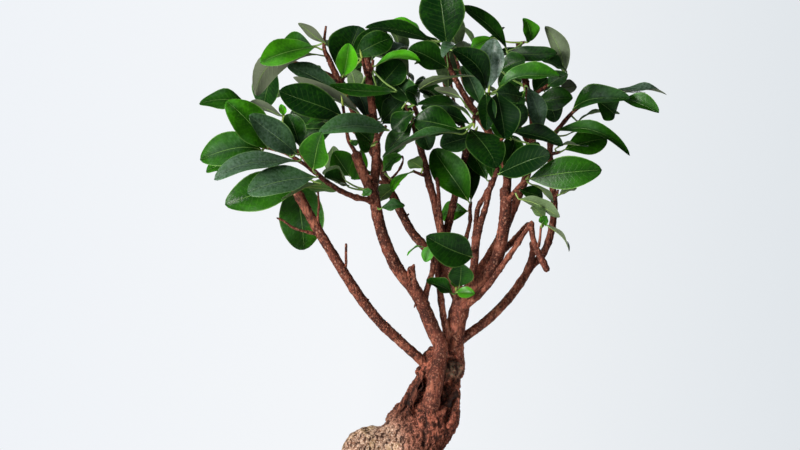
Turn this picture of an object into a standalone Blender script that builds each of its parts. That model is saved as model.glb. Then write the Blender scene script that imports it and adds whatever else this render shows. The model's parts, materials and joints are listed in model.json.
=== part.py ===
"""Ginseng ficus in a plain pot: pot, soil, trunk with roots and limbs, and one solid for each leafy shoot.

Metres, +Z up, the pot's underside on z = 0 round the origin, the picture's viewer on the -Y side.
"""

import math
import random
from collections import namedtuple

import bmesh
import bpy
from mathutils import Vector, noise
from mathutils.bvhtree import BVHTree

# The picture: metres per pixel at the pot's axis, how far off the eye is, and where it looks.
PIXEL = 0.00064
EYE_DISTANCE = 1.5
PICTURE_CENTRE = (400, 225)
POT_COLUMN = 404
FRAME_FOOT_ROW, FRAME_FOOT_Z = 450, 0.176
EYE = Vector((
    (PICTURE_CENTRE[0] - POT_COLUMN) * PIXEL,
    -EYE_DISTANCE,
    FRAME_FOOT_Z + (FRAME_FOOT_ROW - PICTURE_CENTRE[1]) * PIXEL,
))
MM = 0.001


def seen(column, row, depth):
    """The point that the picture shows at this column and row, this many mm behind the pot's axis."""
    y = depth * MM
    spread = PIXEL * (1 + y / EYE_DISTANCE)
    across, up = column - PICTURE_CENTRE[0], PICTURE_CENTRE[1] - row
    return Vector((EYE.x + across * spread, y, EYE.z + up * spread))


# limb: (radius at its foot and at its tip in mm, [(column, row, depth mm)...] of its middle line)
LIMBS = {
    "left": (3.3, 3.1, [
        (434, 376, -4), (423, 362, -8), (400, 341, -14), (380, 322, -20), (362, 300, -24),
        (346, 276, -27), (332, 253, -28), (318, 230, -28), (307, 210, -28), (298, 194, -27),
        (294, 186, -26)
    ]),
    "left_spur_a": (0.9, 0.6, [(320, 232, -28), (318, 218, -30), (319, 205, -31), (318, 192, -31)]),
    "left_spur_b": (0.9, 0.6, [
        (316, 234, -28), (303, 231, -31), (292, 227, -33), (284, 221, -34), (277, 218, -35)
    ]),
    "left_spur_c": (0.9, 0.7, [(344, 274, -27), (346, 264, -29), (346, 254, -30), (346, 244, -30)]),
    "front": (5.4, 2.0, [
        (428, 422, -18), (431, 408, -23), (433, 395, -24), (436, 378, -21), (440, 358, -15),
        (440, 345, -12), (434, 332, -12), (427, 315, -14), (419, 297, -17), (410, 284, -20),
        (399, 271, -24), (390, 254, -28), (383, 236, -30), (378, 218, -32), (375, 202, -32),
        (373, 190, -30), (375, 176, -24), (376, 162, -20), (376, 148, -18), (374, 132, -16),
        (373, 115, -14), (371, 98, -12), (369, 80, -10), (368, 66, -9), (367, 53, -9)
    ]),
    "front_stump": (3.4, 3.2, [
        (374, 196, -31), (368, 184, -30), (362, 170, -28), (358, 160, -27), (356, 154, -26)
    ]),
    "front_stub": (2.7, 2.3, [(417, 293, -19), (413, 280, -22), (411, 268, -23)]),
    "front_fork": (2.0, 1.6, [(423, 303, -17), (428, 286, -15), (432, 272, -13), (433, 263, -12)]),
    "left_twig": (1.9, 1.4, [
        (375, 203, -32), (368, 200, -36), (355, 197, -42), (341, 191, -47), (327, 182, -51),
        (315, 172, -53), (306, 165, -54)
    ]),
    "main": (7.6, 6.0, [
        (451, 392, 2), (454, 370, 4), (453, 350, 3), (455, 328, 2), (460, 308, 1), (463, 296, 0)
    ]),
    "bow": (3.3, 1.9, [
        (461, 304, 4), (452, 287, 4), (442, 270, 4), (433, 256, 6), (424, 246, 8), (412, 232, 10),
        (403, 216, 12), (396, 202, 13), (388, 186, 13), (382, 170, 12), (374, 152, 10), (365, 137, 8),
        (357, 120, 6), (349, 101, 5), (342, 87, 3), (336, 75, 1), (330, 62, -1)
    ]),
    "bow_twig": (0.9, 0.6, [(387, 183, 13), (393, 177, 9), (399, 170, 7), (403, 161, 6), (402, 156, 6)]),
    "inner": (2.2, 1.9, [
        (448, 338, -2), (444, 320, -5), (441, 300, -6), (439, 282, -4), (437, 268, 0), (435, 259, 5)
    ]),
    "fan": (3.4, 3.2, [(463, 300, -1), (456, 284, -3), (449, 266, -4), (445, 250, -4), (443, 236, -4)]),
    "fan_left": (2.7, 1.9, [
        (444, 240, -4), (438, 218, -4), (434, 200, -4), (429, 182, -4), (425, 165, -3), (421, 150, -2),
        (417, 135, -3), (413, 120, -4)
    ]),
    "fan_mid": (1.5, 1.0, [
        (443, 238, -5), (440, 215, -10), (439, 200, -12), (438, 188, -13), (437, 178, -13)
    ]),
    "fan_right": (2.5, 1.9, [
        (444, 240, -4), (450, 218, 2), (455, 196, 6), (459, 178, 8), (464, 160, 10), (467, 148, 11)
    ]),
    "fan_twig": (1.5, 1.2, [(451, 272, -2), (460, 255, 4), (466, 238, 7), (470, 222, 8), (470, 208, 8)]),
    "knee": (4.4, 3.6, [
        (462, 300, -1), (472, 289, -5), (487, 276, -9), (497, 258, -13), (502, 238, -15),
        (505, 218, -17), (506, 202, -17), (505, 190, -17)
    ]),
    "knee_top": (2.8, 1.6, [
        (505, 200, -17), (507, 184, -15), (507, 172, -13), (502, 156, -11), (495, 142, -9),
        (486, 128, -7), (476, 113, -6), (466, 98, -5), (457, 82, -5), (450, 68, -5), (446, 55, -5)
    ]),
    "knee_side": (2.2, 1.8, [
        (501, 250, -13), (508, 246, -6), (516, 238, -2), (524, 229, 0), (529, 224, 0)
    ]),
    "shade": (3.2, 1.9, [
        (463, 298, 4), (476, 276, 12), (488, 258, 17), (497, 243, 21), (505, 228, 25), (512, 212, 28),
        (518, 197, 30), (524, 183, 31), (529, 168, 30), (532, 150, 27), (533, 128, 24), (531, 108, 21),
        (527, 88, 18), (523, 70, 16), (519, 54, 14), (519, 44, 14)
    ]),
    "pale": (2.5, 1.5, [
        (464, 300, -2), (472, 280, -8), (475, 260, -11), (477, 240, -12), (481, 222, -12),
        (486, 206, -11), (489, 192, -9), (495, 176, -6), (498, 168, -4)
    ]),
    "dark": (2.1, 1.4, [
        (464, 295, 2), (468, 286, 2), (473, 265, 2), (474, 245, 3), (476, 225, 5), (478, 208, 6),
        (484, 197, 6), (489, 188, 6)
    ]),
    "slim": (2.1, 1.4, [
        (462, 308, -4), (476, 298, -12), (490, 283, -16), (502, 266, -18), (512, 252, -20),
        (521, 238, -21), (527, 229, -21), (532, 222, -21)
    ]),
    "drop": (1.7, 2.2, [
        (531, 223, -21), (533, 238, -24), (537, 250, -26), (543, 262, -27), (547, 270, -27)
    ]),
    "right": (3.2, 1.7, [
        (456, 342, 4), (470, 333, 8), (485, 322, 12), (500, 308, 16), (513, 293, 19), (523, 279, 21),
        (531, 266, 23), (541, 257, 24), (548, 243, 25), (552, 228, 25), (554, 212, 25), (554, 198, 25),
        (552, 184, 24), (551, 168, 22), (550, 152, 19), (551, 138, 16)
    ]),
    "right_stub": (2.2, 1.9, [(528, 270, 22), (531, 260, 21), (533, 250, 19), (532, 243, 18)]),
    "back_left": (2.2, 1.5, [(376, 156, 10), (362, 138, 28), (346, 124, 42)]),
    "back_middle": (2.1, 1.4, [(419, 142, -2), (420, 124, 22), (414, 106, 44)]),
    "back_fan": (2.0, 1.4, [(466, 152, 11), (464, 132, 32), (458, 112, 52)]),
    "back_right": (2.2, 1.5, [(531, 160, 28), (528, 142, 46), (518, 126, 60)]),
    "back_high": (1.9, 1.3, [(359, 124, 6), (372, 110, 22), (386, 96, 36)]),
    "back_top": (1.9, 1.3, [(468, 105, -5), (474, 96, 16), (480, 88, 34)]),
}

# shoot: (limb, radius at its foot and at its tip in mm, [(column, row, depth mm)...] of its twig, leaves)
# leaf: (base column, base row, tip column, tip row, mm of depth from base to tip, facing, width in mm, arch)
SHOOTS = {
    "far_left": ("left_twig", 1.3, 1.0, [(306, 165, -54), (283, 152, -50), (262, 147, -44)], [
        (252, 112, 199, 104, -6, 55, 19, 0.20),
        (268, 149, 226, 101, -14, 22, 20, 0.10),
        (262, 150, 200, 160, -10, 28, 21, 0.14),
        (258, 157, 206, 172, 6, 40, 17, 0.10),
        (283, 117, 249, 104, 10, 112, 15, 0.06),
    ]),
    "left_end": ("left_twig", 1.3, 1.0, [(314, 171, -53), (306, 161, -60), (297, 150, -66)], [
        (299, 161, 214, 180, -16, 52, 19, 0.12),
        (298, 155, 249, 115, -14, 20, 18, 0.06),
        (291, 157, 270, 134, 14, 40, 12, 0.08),
    ]),
    "left_front": ("left_twig", 1.3, 1.0, [(327, 182, -51), (322, 179, -59), (316, 173, -64)], [
        (317, 177, 247, 193, -12, 32, 19, 0.10),
        (314, 171, 325, 133, -16, -14, 17, 0.05),
    ]),
    "left_low": ("left", 1.5, 1.1, [(294, 186, -26), (298, 179, -22), (304, 173, -20)], [
        (300, 181, 226, 199, -6, 14, 21, 0.07),
        (300, 188, 309, 250, 8, 2, 28, 0.05),
        (322, 184, 281, 200, -18, 104, 14, 0.05),
        (308, 186, 337, 190, 8, 135, 12, 0.05),
    ]),
    "front_low": ("front", 1.3, 1.0, [(373, 190, -30), (368, 191, -38), (364, 189, -42)], [
        (368, 189, 324, 177, -12, 60, 14, 0.06),
        (356, 186, 322, 173, 14, 150, 12, 0.05),
        (362, 195, 372, 191, -6, 30, 6, 0.05),
    ]),
    "front_small": ("front", 1.2, 0.9, [(376, 216, -32), (376, 210, -37), (378, 208, -40)], [
        (380, 209, 405, 206, -6, 45, 9, 0.12),
    ]),
    "upper_left": ("bow", 1.8, 0.7, [(330, 62, -1), (324, 47, -5), (326, 26, -8)], [
        (319, 44, 298, 24, -6, 128, 12, 0.06),
        (319, 53, 260, 66, -16, 52, 18, 0.06),
        (312, 41, 277, 43, 16, 50, 16, 0.16),
        (321, 57, 260, 92, -20, 125, 19, 0.24),
    ]),
    "upper_left_back": ("bow", 1.4, 1.0, [(338, 79, 2), (318, 70, 12), (288, 60, 20)], [
        (278, 66, 268, 109, 6, 12, 22, 0.08),
        (320, 76, 309, 63, 6, 60, 8, 0.04),
    ]),
    "leader_left": ("front", 1.4, 1.0, [(369, 82, -10), (365, 70, -17), (362, 58, -20)], [
        (360, 57, 341, 73, -18, 6, 17, 0.08),
        (354, 56, 392, 38, 10, 20, 17, 0.06),
        (356, 93, 350, 69, 8, 150, 13, 0.05),
    ]),
    "leader_right": ("front", 1.4, 1.0, [(369, 78, -10), (372, 69, -14), (373, 60, -16)], [
        (375, 66, 421, 62, -8, 62, 17, 0.26),
        (374, 54, 409, 49, 8, 122, 14, 0.14),
        (378, 90, 402, 61, 8, 15, 20, 0.05),
        (398, 93, 328, 86, -12, 64, 20, 0.02),
    ]),
    "leader_mid": ("front", 1.3, 0.9, [(372, 118, -14), (374, 120, -6), (375, 120, 0)], [
        (380, 118, 394, 84, 6, 8, 19, 0.05),
        (368, 119, 353, 82, 8, 10, 19, 0.05),
        (382, 124, 412, 108, 8, 40, 14, 0.06),
    ]),
    "leader_front": ("front", 1.3, 1.0, [(373, 116, -14), (369, 116, -21), (366, 117, -24)], [
        (362, 116, 293, 77, -12, 128, 15, 0.03),
    ]),
    "bow_low": ("bow", 1.3, 1.0, [(349, 101, 5), (347, 98, -2), (346, 96, -6)], [
        (343, 94, 287, 66, -4, 42, 16, 0.04),
    ]),
    "upper_mid": ("bow", 1.3, 0.9, [(341, 84, 3), (343, 80, 9), (344, 76, 12)], [
        (343, 72, 349, 26, 8, 6, 27, 0.05),
        (350, 72, 381, 29, 12, 4, 18, 0.05),
    ]),
    "mid_left": ("front_stump", 1.4, 1.0, [(356, 154, -26), (348, 138, -30), (343, 106, -34)], [
        (343, 117, 279, 91, -12, 24, 22, 0.05),
        (333, 124, 306, 125, -6, 66, 8, 0.12),
        (352, 140, 356, 146, -4, 20, 5, 0.05),
    ]),
    "centre_left": ("front", 1.4, 1.0, [(376, 152, -18), (379, 137, -29), (386, 126, -34)], [
        (372, 144, 352, 126, -20, 30, 24, 0.04),
        (389, 133, 319, 133, -12, 44, 20, 0.06),
        (362, 147, 354, 180, 6, 20, 11, 0.05),
    ]),
    "shade_left": ("bow", 1.4, 1.0, [(387, 184, 13), (366, 178, 22), (344, 173, 26)], [
        (350, 176, 333, 152, -8, 8, 17, 0.06),
        (330, 174, 333, 146, 8, 150, 13, 0.05),
        (372, 172, 351, 179, 4, 30, 9, 0.05),
    ]),
    "bow_side": ("bow", 1.2, 0.9, [(384, 175, 12), (383, 170, 4), (384, 165, 0)], [
        (383, 171, 402, 156, -4, 40, 12, 0.08),
        (399, 184, 377, 203, 4, 140, 12, 0.08),
    ]),
    "fan_low": ("fan_left", 1.2, 0.9, [(427, 176, -4), (420, 174, -8), (413, 171, -10)], [
        (411, 172, 392, 192, -6, 60, 10, 0.16),
        (423, 168, 409, 160, -6, 150, 10, 0.05),
    ]),
    "fan_top": ("fan_left", 1.4, 1.0, [(413, 120, -4), (409, 111, -12), (405, 105, -18)], [
        (400, 107, 478, 74, -18, 96, 20, 0.12),
        (413, 104, 394, 82, -6, 20, 18, 0.06),
        (419, 101, 405, 90, -14, 30, 14, 0.10),
    ]),
    "top": ("knee_top", 1.6, 1.0, [(446, 55, -5), (446, 47, -8), (443, 39, -10)], [
        (447, 43, 437, -18, -4, 0, 27, 0.05),
        (464, 49, 443, 58, -20, 70, 12, 0.16),
        (433, 42, 365, 28, -10, 60, 19, 0.06),
        (422, 37, 392, 20, 12, 40, 15, 0.08),
        (448, 68, 408, 49, -8, 25, 19, 0.06),
    ]),
    "crown": ("knee_top", 1.5, 1.0, [(487, 130, -7), (488, 112, -20), (489, 92, -28)], [
        (489, 88, 492, 38, -8, 172, 18, 0.05),
        (486, 90, 457, 52, -8, 30, 19, 0.08),
        (495, 88, 560, 78, -12, 48, 20, 0.12),
        (497, 93, 505, 139, -20, -4, 22, 0.06),
        (486, 93, 486, 131, -14, -20, 13, 0.04),
    ]),
    "crown_left": ("knee_top", 1.5, 1.0, [(476, 113, -6), (474, 118, -14), (474, 124, -20)], [
        (472, 119, 417, 105, -14, 58, 20, 0.16),
        (459, 129, 414, 121, 4, 22, 21, 0.06),
        (482, 107, 461, 66, 10, 30, 16, 0.06),
        (461, 98, 434, 89, 4, 125, 10, 0.05),
        (463, 134, 382, 158, -14, 64, 17, 0.16),
    ]),
    "shade_top": ("shade", 1.3, 0.9, [(519, 44, 14), (522, 43, 12), (525, 42, 10)], [
        (526, 38, 526, 18, -4, 30, 13, 0.03),
        (505, 55, 557, 52, -8, 56, 17, 0.03),
        (491, 39, 471, 48, 2, 60, 10, 0.10),
    ]),
    "shade_arch": ("shade", 1.2, 0.9, [(522, 64, 15), (515, 61, 8), (510, 58, 3)], [
        (507, 50, 464, 8, -4, 42, 19, 0.18),
    ]),
    "shade_right": ("shade", 1.5, 1.0, [(529, 98, 19), (547, 86, 12), (563, 77, 8)], [
        (566, 74, 547, 27, 6, 150, 17, 0.10),
        (567, 72, 542, 61, -8, 60, 12, 0.10),
        (548, 86, 568, 74, -4, 20, 12, 0.06),
        (560, 91, 577, 87, 10, 150, 11, 0.12),
        (538, 108, 573, 98, -6, 14, 20, 0.06),
    ]),
    "shade_front": ("shade", 1.5, 1.0, [(530, 102, 20), (526, 92, 10), (524, 84, 2)], [
        (527, 86, 541, 132, -16, 28, 18, 0.10),
        (522, 97, 496, 93, -10, 30, 16, 0.06),
        (500, 70, 526, 59, 6, 20, 15, 0.06),
    ]),
    "far_right": ("right", 1.5, 1.0, [(551, 138, 16), (574, 111, 9), (592, 101, 9), (608, 96, 8)], [
        (574, 111, 631, 99, -14, 48, 20, 0.20),
        (597, 100, 617, 118, 10, 20, 17, 0.06),
        (610, 91, 667, 95, -6, 70, 15, 0.12),
        (615, 94, 645, 93, 10, 78, 12, 0.05),
        (622, 100, 659, 113, -12, 34, 16, 0.08),
        (578, 121, 620, 114, 8, 100, 14, 0.12),
    ]),
    "right_low": ("right", 1.4, 1.0, [(550, 146, 18), (552, 139, 8), (554, 135, 2)], [
        (558, 130, 629, 156, -12, 46, 17, 0.26),
        (566, 135, 606, 132, 8, 96, 12, 0.10),
    ]),
    "right_inner": ("right", 1.3, 1.0, [(551, 154, 19), (556, 153, 15), (560, 152, 12)], [
        (564, 151, 608, 139, 8, 14, 20, 0.06),
        (555, 149, 588, 147, -14, 96, 9, 0.10),
    ]),
    "right_big": ("knee", 1.6, 1.2, [(506, 204, -17), (515, 191, -28), (526, 179, -36)], [
        (532, 178, 602, 172, -10, 3, 22, 0.05),
        (531, 184, 553, 203, 10, 110, 8, 0.08),
        (520, 190, 543, 197, 8, 16, 11, 0.05),
        (519, 199, 560, 217, -10, 130, 12, 0.06),
    ]),
    "right_small": ("right", 1.1, 0.8, [(554, 198, 25), (557, 195, 20), (558, 190, 18)], [
        (559, 195, 577, 188, -4, 130, 8, 0.05),
    ]),
    "hanging": ("drop", 1.0, 0.8, [(538, 250, -26), (540, 238, -29), (541, 226, -30)], [
        (545, 219, 532, 206, -4, 140, 9, 0.05),
        (542, 224, 547, 216, -8, 10, 7, 0.10),
        (545, 224, 569, 252, -6, 96, 9, 0.12),
    ]),
    "centre": ("knee_top", 1.3, 1.0, [(507, 177, -14), (505, 176, -20), (503, 174, -24)], [
        (503, 171, 548, 157, -6, 2, 25, 0.05),
    ]),
    "dark_end": ("dark", 1.3, 1.0, [(489, 188, 6), (490, 184, 10), (490, 181, 13)], [
        (487, 180, 469, 148, 8, 20, 16, 0.06),
        (492, 179, 494, 148, 10, 16, 15, 0.05),
    ]),
    "fan_leaf": ("fan_twig", 1.2, 0.9, [(470, 208, 8), (471, 202, 6)], [
        (469, 202, 433, 149, 4, 14, 22, 0.05),
        (471, 201, 468, 152, 14, 16, 16, 0.05),
        (463, 209, 440, 216, 10, 150, 16, 0.05),
    ]),
    "fan_right_top": ("fan_right", 1.4, 1.0, [(467, 148, 11), (472, 138, 0), (476, 130, -6)], [
        (470, 129, 497, 168, -18, 12, 24, 0.06),
        (475, 136, 440, 146, -10, 16, 18, 0.05),
    ]),
    "screen": ("pale", 1.3, 0.9, [(476, 250, -12), (473, 252, -18), (471, 251, -22)], [
        (470, 251, 427, 234, -16, 4, 23, 0.03),
    ]),
    "sprout": ("main", 1.2, 0.9, [(459, 302, 0), (456, 296, -10), (456, 290, -14)], [
        (459, 287, 461, 263, -6, 6, 16, 0.05),
        (456, 288, 453, 277, -5, 20, 6, 0.10),
        (453, 294, 426, 281, -6, 60, 9, 0.08),
        (457, 295, 474, 292, -6, 14, 8, 0.05),
    ]),
    "fork_tip": ("front_fork", 1.2, 0.8, [(433, 263, -12), (432, 257, -14)], [
        (431, 259, 424, 251, -4, 150, 8, 0.05),
        (425, 248, 407, 256, -8, 60, 5, 0.20),
    ]),
    "low_crown": ("knee_top", 1.4, 1.0, [(497, 145, -9), (502, 139, -18), (506, 134, -24)], [
        (510, 132, 563, 146, -10, 50, 17, 0.05),
        (528, 143, 549, 158, 6, 60, 10, 0.05),
    ]),
}

# How far a blade's halves fold up, and the moves a leaf may make to clear its neighbours, smallest first.
FOLD = math.radians(14)
NUDGES = sorted(
    (abs(turn) / 6 + abs(shift) / 2.5 + abs(lift) / 4, turn, shift, lift)
    for turn in (0, 8, -8, 16, -16, 26, -26)
    for shift in (0, 3, -3, 6, -6)
    for lift in (0, 4, -4, 8, -8, 12, -12, 17, -17)
)

# root: [(column, row, depth mm, radius mm)...] from the neck down to the soil
BODY = {
    "neck": [
        (446, 352, 2, 8.5), (443, 362, 1, 12), (436, 379, 0, 14.6), (430, 394, 0, 18.3),
        (428, 408, 0, 20.6), (421, 421, 1, 22), (411, 438, 2, 21)
    ],
    "bulge": [
        (420, 418, -2, 14), (400, 432, -5, 16), (382, 444, -6, 17.5), (372, 462, -5, 20),
        (366, 484, -4, 21), (358, 508, -6, 18), (349, 532, -9, 13), (342, 552, -11, 9),
        (339, 562, -12, 7.2)
    ],
    "front_root": [
        (432, 410, -4, 15), (420, 436, -8, 16), (414, 462, -12, 18), (418, 492, -18, 16),
        (428, 524, -26, 11.5), (436, 550, -32, 7.6), (438, 562, -34, 6.2)
    ],
    "back_root": [
        (424, 420, 8, 16), (408, 448, 14, 20), (396, 478, 22, 19), (392, 512, 31, 13),
        (396, 545, 37, 8), (398, 562, 39, 6.2)
    ],
    "side_root": [
        (420, 446, 6, 12), (430, 472, 10, 11), (444, 500, 14, 9), (458, 530, 17, 6.8),
        (466, 552, 19, 5.4), (469, 562, 20, 4.8)
    ],
    "knot": [(446, 372, -4, 8), (452, 369, -7, 6.8), (456, 368, -8, 5.6)],
    "collar": [(440, 350, -2, 6.5), (436, 362, -4, 9), (430, 378, -5, 10)],
}
ROOT_ENDS = ("bulge", "front_root", "back_root", "side_root")
SOIL_TOP, SOIL_FLOOR, PEG_FOOT = 97.5, 8.4, 84.0
POT_SIDES = 32


Leaf = namedtuple("Leaf", "root base tip facing width arch")


def along(points, at):
    """The point at this share of a polyline's length."""
    lengths = [(b - a).length for a, b in zip(points, points[1:])]
    rest = at * sum(lengths)
    for a, b, length in zip(points, points[1:], lengths):
        if rest <= length:
            return a.lerp(b, rest / length)
        rest -= length
    return points[-1].copy()


def rooted(points, target, order):
    """The point of a twig nearest to the target, a little further in for each leaf that comes before it."""
    lengths = [(b - a).length for a, b in zip(points, points[1:])]
    found = []
    for k, (a, b) in enumerate(zip(points, points[1:])):
        share = max(0.0, min(1.0, (target - a).dot(b - a) / (b - a).length_squared))
        found.append(((a.lerp(b, share) - target).length, sum(lengths[:k]) + share * lengths[k]))
    place = min(min(found)[1], sum(lengths) - (0.4 + 0.45 * order) * MM)
    return along(points, max(place, (1.3 + 0.3 * order) * MM) / sum(lengths))


def normal_of(leaf):
    """The way the upper face turns: 0 at the viewer, 90 at the sky, 180 away from the viewer."""
    axis = (leaf.tip - leaf.base).normalized()
    sight = EYE - (leaf.base + leaf.tip) / 2
    toward = (sight - axis * sight.dot(axis)).normalized()
    up = axis.cross(toward)
    if up.z + 0.25 * up.x < 0:
        up = -up
    turn = math.radians(leaf.facing)
    return (toward * math.cos(turn) + up * math.sin(turn)).normalized()


def profile(u):
    return math.sin(math.pi * u**1.12) ** 0.72


def blade_point(leaf, u, v):
    """A point of the blade: u runs from its base to its tip, v from one edge to the other."""
    normal = normal_of(leaf)
    run = leaf.tip - leaf.base
    across = run.normalized().cross(normal)
    half = leaf.width / 2 * profile(min(max(u, 0.0), 1.0))
    rise = run.length * leaf.arch * 4 * u * (1 - u) + half * abs(v) * math.sin(FOLD)
    return leaf.base + run * u + across * half * v * math.cos(FOLD) + normal * rise


def leaf_rows(leaf, whole):
    """Rows of points from the petiole's root, or from the blade's base, to the tip."""
    normal = normal_of(leaf)
    axis = (leaf.tip - leaf.base).normalized()
    stalk = (leaf.base - leaf.root).normalized()
    rows = []
    if whole:
        across = (stalk + axis * 0.6).cross(normal).normalized() * 0.55 * MM
        rows.append([leaf.root - across, leaf.root + across])
    if not whole or (leaf.base - leaf.root).length > 8 * MM:
        across = (axis + stalk if whole else axis).cross(normal).normalized() * 0.8 * MM
        rows.append([leaf.base - across, leaf.base + across])
    for u in (0.2, 0.5, 0.81) if (leaf.tip - leaf.base).length > 24 * MM else (0.3, 0.72):
        rows.append([blade_point(leaf, u, v) for v in (-1.06, 0, 1.06)])
    return rows + [[leaf.tip]]


def leaf_solid(leaf, thickness, whole=True):
    """(points, faces) of a leaf as one thin closed solid, both sides cut up alike."""
    rows = leaf_rows(leaf, whole)
    points, faces, start = [], [], []
    for row in rows:
        start.append(len(points))
        points += row
    for row, after, a, b in zip(rows, rows[1:], start, start[1:]):
        if len(row) == 3 and len(after) == 3:
            faces += [[a, a + 1, b + 1], [a, b + 1, b], [a + 1, a + 2, b + 1], [a + 2, b + 2, b + 1]]
        elif len(after) == 3:
            faces += [[a, b + 1, b], [a, a + 1, b + 1], [a + 1, b + 2, b + 1]]
        elif len(after) == 2:
            faces += [[a, a + 1, b + 1], [a, b + 1, b]]
        else:
            faces += [[a, a + 1, b], [a + 1, a + 2, b]]
    normals = [Vector() for _ in points]
    for face in faces:
        p, q, r = (points[i] for i in face)
        turn = (q - p).cross(r - p).normalized()
        for i in face:
            normals[i] += turn
    share = [0.85 if len(row) == 2 else 0.5 for row in rows for _ in row]
    half = [n.normalized() * thickness * s for n, s in zip(normals, share)]
    count = len(points)
    solid = faces + [[i + count for i in reversed(face)] for face in faces]
    edges = {(i, j) for face in faces for i, j in zip(face, face[1:] + face[:1])}
    for i, j in sorted(edges):
        if (j, i) not in edges:
            solid += [[j, i, i + count], [j, i + count, j + count]]
    return [p + h for p, h in zip(points, half)] + [p - h for p, h in zip(points, half)], solid


def tube(points, radii, sides, pointed=False, turn=0.0):
    """(points, faces) of a closed tube whose rings don't twist."""
    count = len(points)
    heading = [(points[min(i + 1, count - 1)] - points[max(i - 1, 0)]).normalized() for i in range(count)]
    side = Vector((1, 0, 0)) if abs(heading[0].x) < 0.8 else Vector((0, 1, 0))
    out, faces = [], []
    for point, ahead, radius in zip(points, heading, radii):
        side = (side - ahead * side.dot(ahead)).normalized()
        other = ahead.cross(side)
        for k in range(sides):
            angle = 2 * math.pi * k / sides + turn
            out.append(point + (side * math.cos(angle) + other * math.sin(angle)) * radius)
    for row in range(count - 1):
        for k in range(sides):
            a, b = row * sides + k, row * sides + (k + 1) % sides
            faces += [[a, b, b + sides], [a, b + sides, a + sides]]
    first, last = len(out), len(out) + 1
    out += [points[0], points[-1] + heading[-1] * radii[-1] * (2.2 if pointed else 0.25)]
    foot = (count - 1) * sides
    for k in range(sides):
        after = (k + 1) % sides
        faces += [[first, after, k], [last, foot + k, foot + after]]
    return out, faces


def limb_rings(name):
    """(point, radius) of each ring of a limb, from its foot to its tip."""
    foot, tip, points = LIMBS[name]
    return [(seen(*p), (foot + (tip - foot) * k / (len(points) - 1)) * MM) for k, p in enumerate(points)]


def wood_gap(point):
    """How far this point is from the surface of the nearest limb."""
    best = 1.0
    for path, radii in WOOD:
        for a, b, r, s in zip(path, path[1:], radii, radii[1:]):
            run = b - a
            share = max(0.0, min(1.0, (point - a).dot(run) / run.length_squared))
            best = min(best, (point - a.lerp(b, share)).length - (r + (s - r) * share))
    return best


def clear_start(path, radius):
    """The path without the stretch that lies inside its limb, so that a hair's gap is left."""
    path = [p.copy() for p in path]
    while len(path) > 1:
        ahead = path[1] - path[0]
        steps = max(1, int(ahead.length / (0.2 * MM)))
        side = ahead.orthogonal().normalized()
        other = ahead.normalized().cross(side)
        for k in range(steps):
            at = path[0] + ahead * (k / steps)
            ring = [at + (side * math.cos(t) + other * math.sin(t)) * radius for t in (0, 1, 2, 3, 4, 5)]
            if min(map(wood_gap, ring + [at])) > 0.35 * MM:
                return [at] + path[1:]
        path = path[1:]
    raise ValueError("a shoot starts inside the wood")


def shoot_path(name):
    limb, foot, tip, points, leaves = SHOOTS[name]
    return clear_start([seen(*p) for p in points], foot * MM)


def shoot_radii(name, count):
    foot, tip = SHOOTS[name][1:3]
    return [(foot + (tip - foot) * k / (count - 1)) * MM for k in range(count)]


def first_leaf(path, entry, order):
    """A leaf as the table gives it, rooted on the nearest point of its twig."""
    column, row, tip_column, tip_row, reach, facing, width, arch = entry
    depth = rooted(path, seen(column, row, path[-1].y / MM), order).y / MM
    root = rooted(path, seen(column, row, depth), order)
    stalk = (seen(column, row, depth) - root).length
    blade = (seen(tip_column, tip_row, depth) - seen(column, row, depth)).length
    base_depth = root.y / MM + reach * stalk / (stalk + blade)
    base, end = seen(column, row, base_depth), seen(tip_column, tip_row, base_depth + reach)
    return Leaf(root, base, end, facing, width * MM, arch)


def pushed(point, by):
    """The point moved along its own sight line, so that the picture stays as it is."""
    return point + (point - EYE).normalized() * by


def box_of(points):
    return [min(p[k] for p in points) for k in range(3)] + [max(p[k] for p in points) for k in range(3)]


def boxes_meet(a, b):
    return all(a[k] <= b[k + 3] and b[k] <= a[k + 3] for k in range(3))


def obstacle(kind, shoot, points, faces):
    return kind, shoot, box_of(points), BVHTree.FromPolygons(points, faces)


def twig_obstacle(name, path, radii):
    return obstacle("twig", name, *tube(path, [r + 0.4 * MM for r in radii], 6, True))


def meets(solid, obstacles):
    """How many obstacles a solid touches."""
    box = box_of(solid[0])
    near = [tree for kind, shoot, other, tree in obstacles if boxes_meet(box, other)]
    if not near:
        return 0
    tree = BVHTree.FromPolygons(*solid)
    return sum(bool(tree.overlap(other)) for other in near)


def settled(name, leaf, obstacles):
    """The leaf moved as little as it takes to clear the wood and every leaf placed before it."""
    others = [o for o in obstacles if (o[0] != "blade") == (o[1] != name)]
    twig = [o for o in obstacles if o[:2] == ("twig", name)]
    best = None
    for cost, turn, shift, lift in NUDGES:
        base, tip = pushed(leaf.base, shift * MM), pushed(leaf.tip, (shift + lift) * MM)
        tried = leaf._replace(base=base, tip=tip, facing=leaf.facing + turn)
        count = meets(leaf_solid(tried, 1.2 * MM), others) + meets(leaf_solid(tried, 1.2 * MM, False), twig)
        if best is None or count < best[0]:
            best = (count, tried)
        if count == 0:
            break
    return best


def back_leaf(root, ahead, outward, length, width, turn):
    """A leaf of a shoot that the picture doesn't show, its face turned up and away."""
    base = root + ahead * 5 * MM
    tip = base + ahead * length * MM
    flat = Leaf(root, base, tip, 0.0, width * MM, 0.08)
    want = outward * 0.5 + Vector((0, 0, 0.85))
    level, upright = normal_of(flat._replace(facing=90.0)), normal_of(flat)
    facing = math.degrees(math.atan2(level.dot(want), upright.dot(want)))
    return flat._replace(facing=facing + turn)


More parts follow.
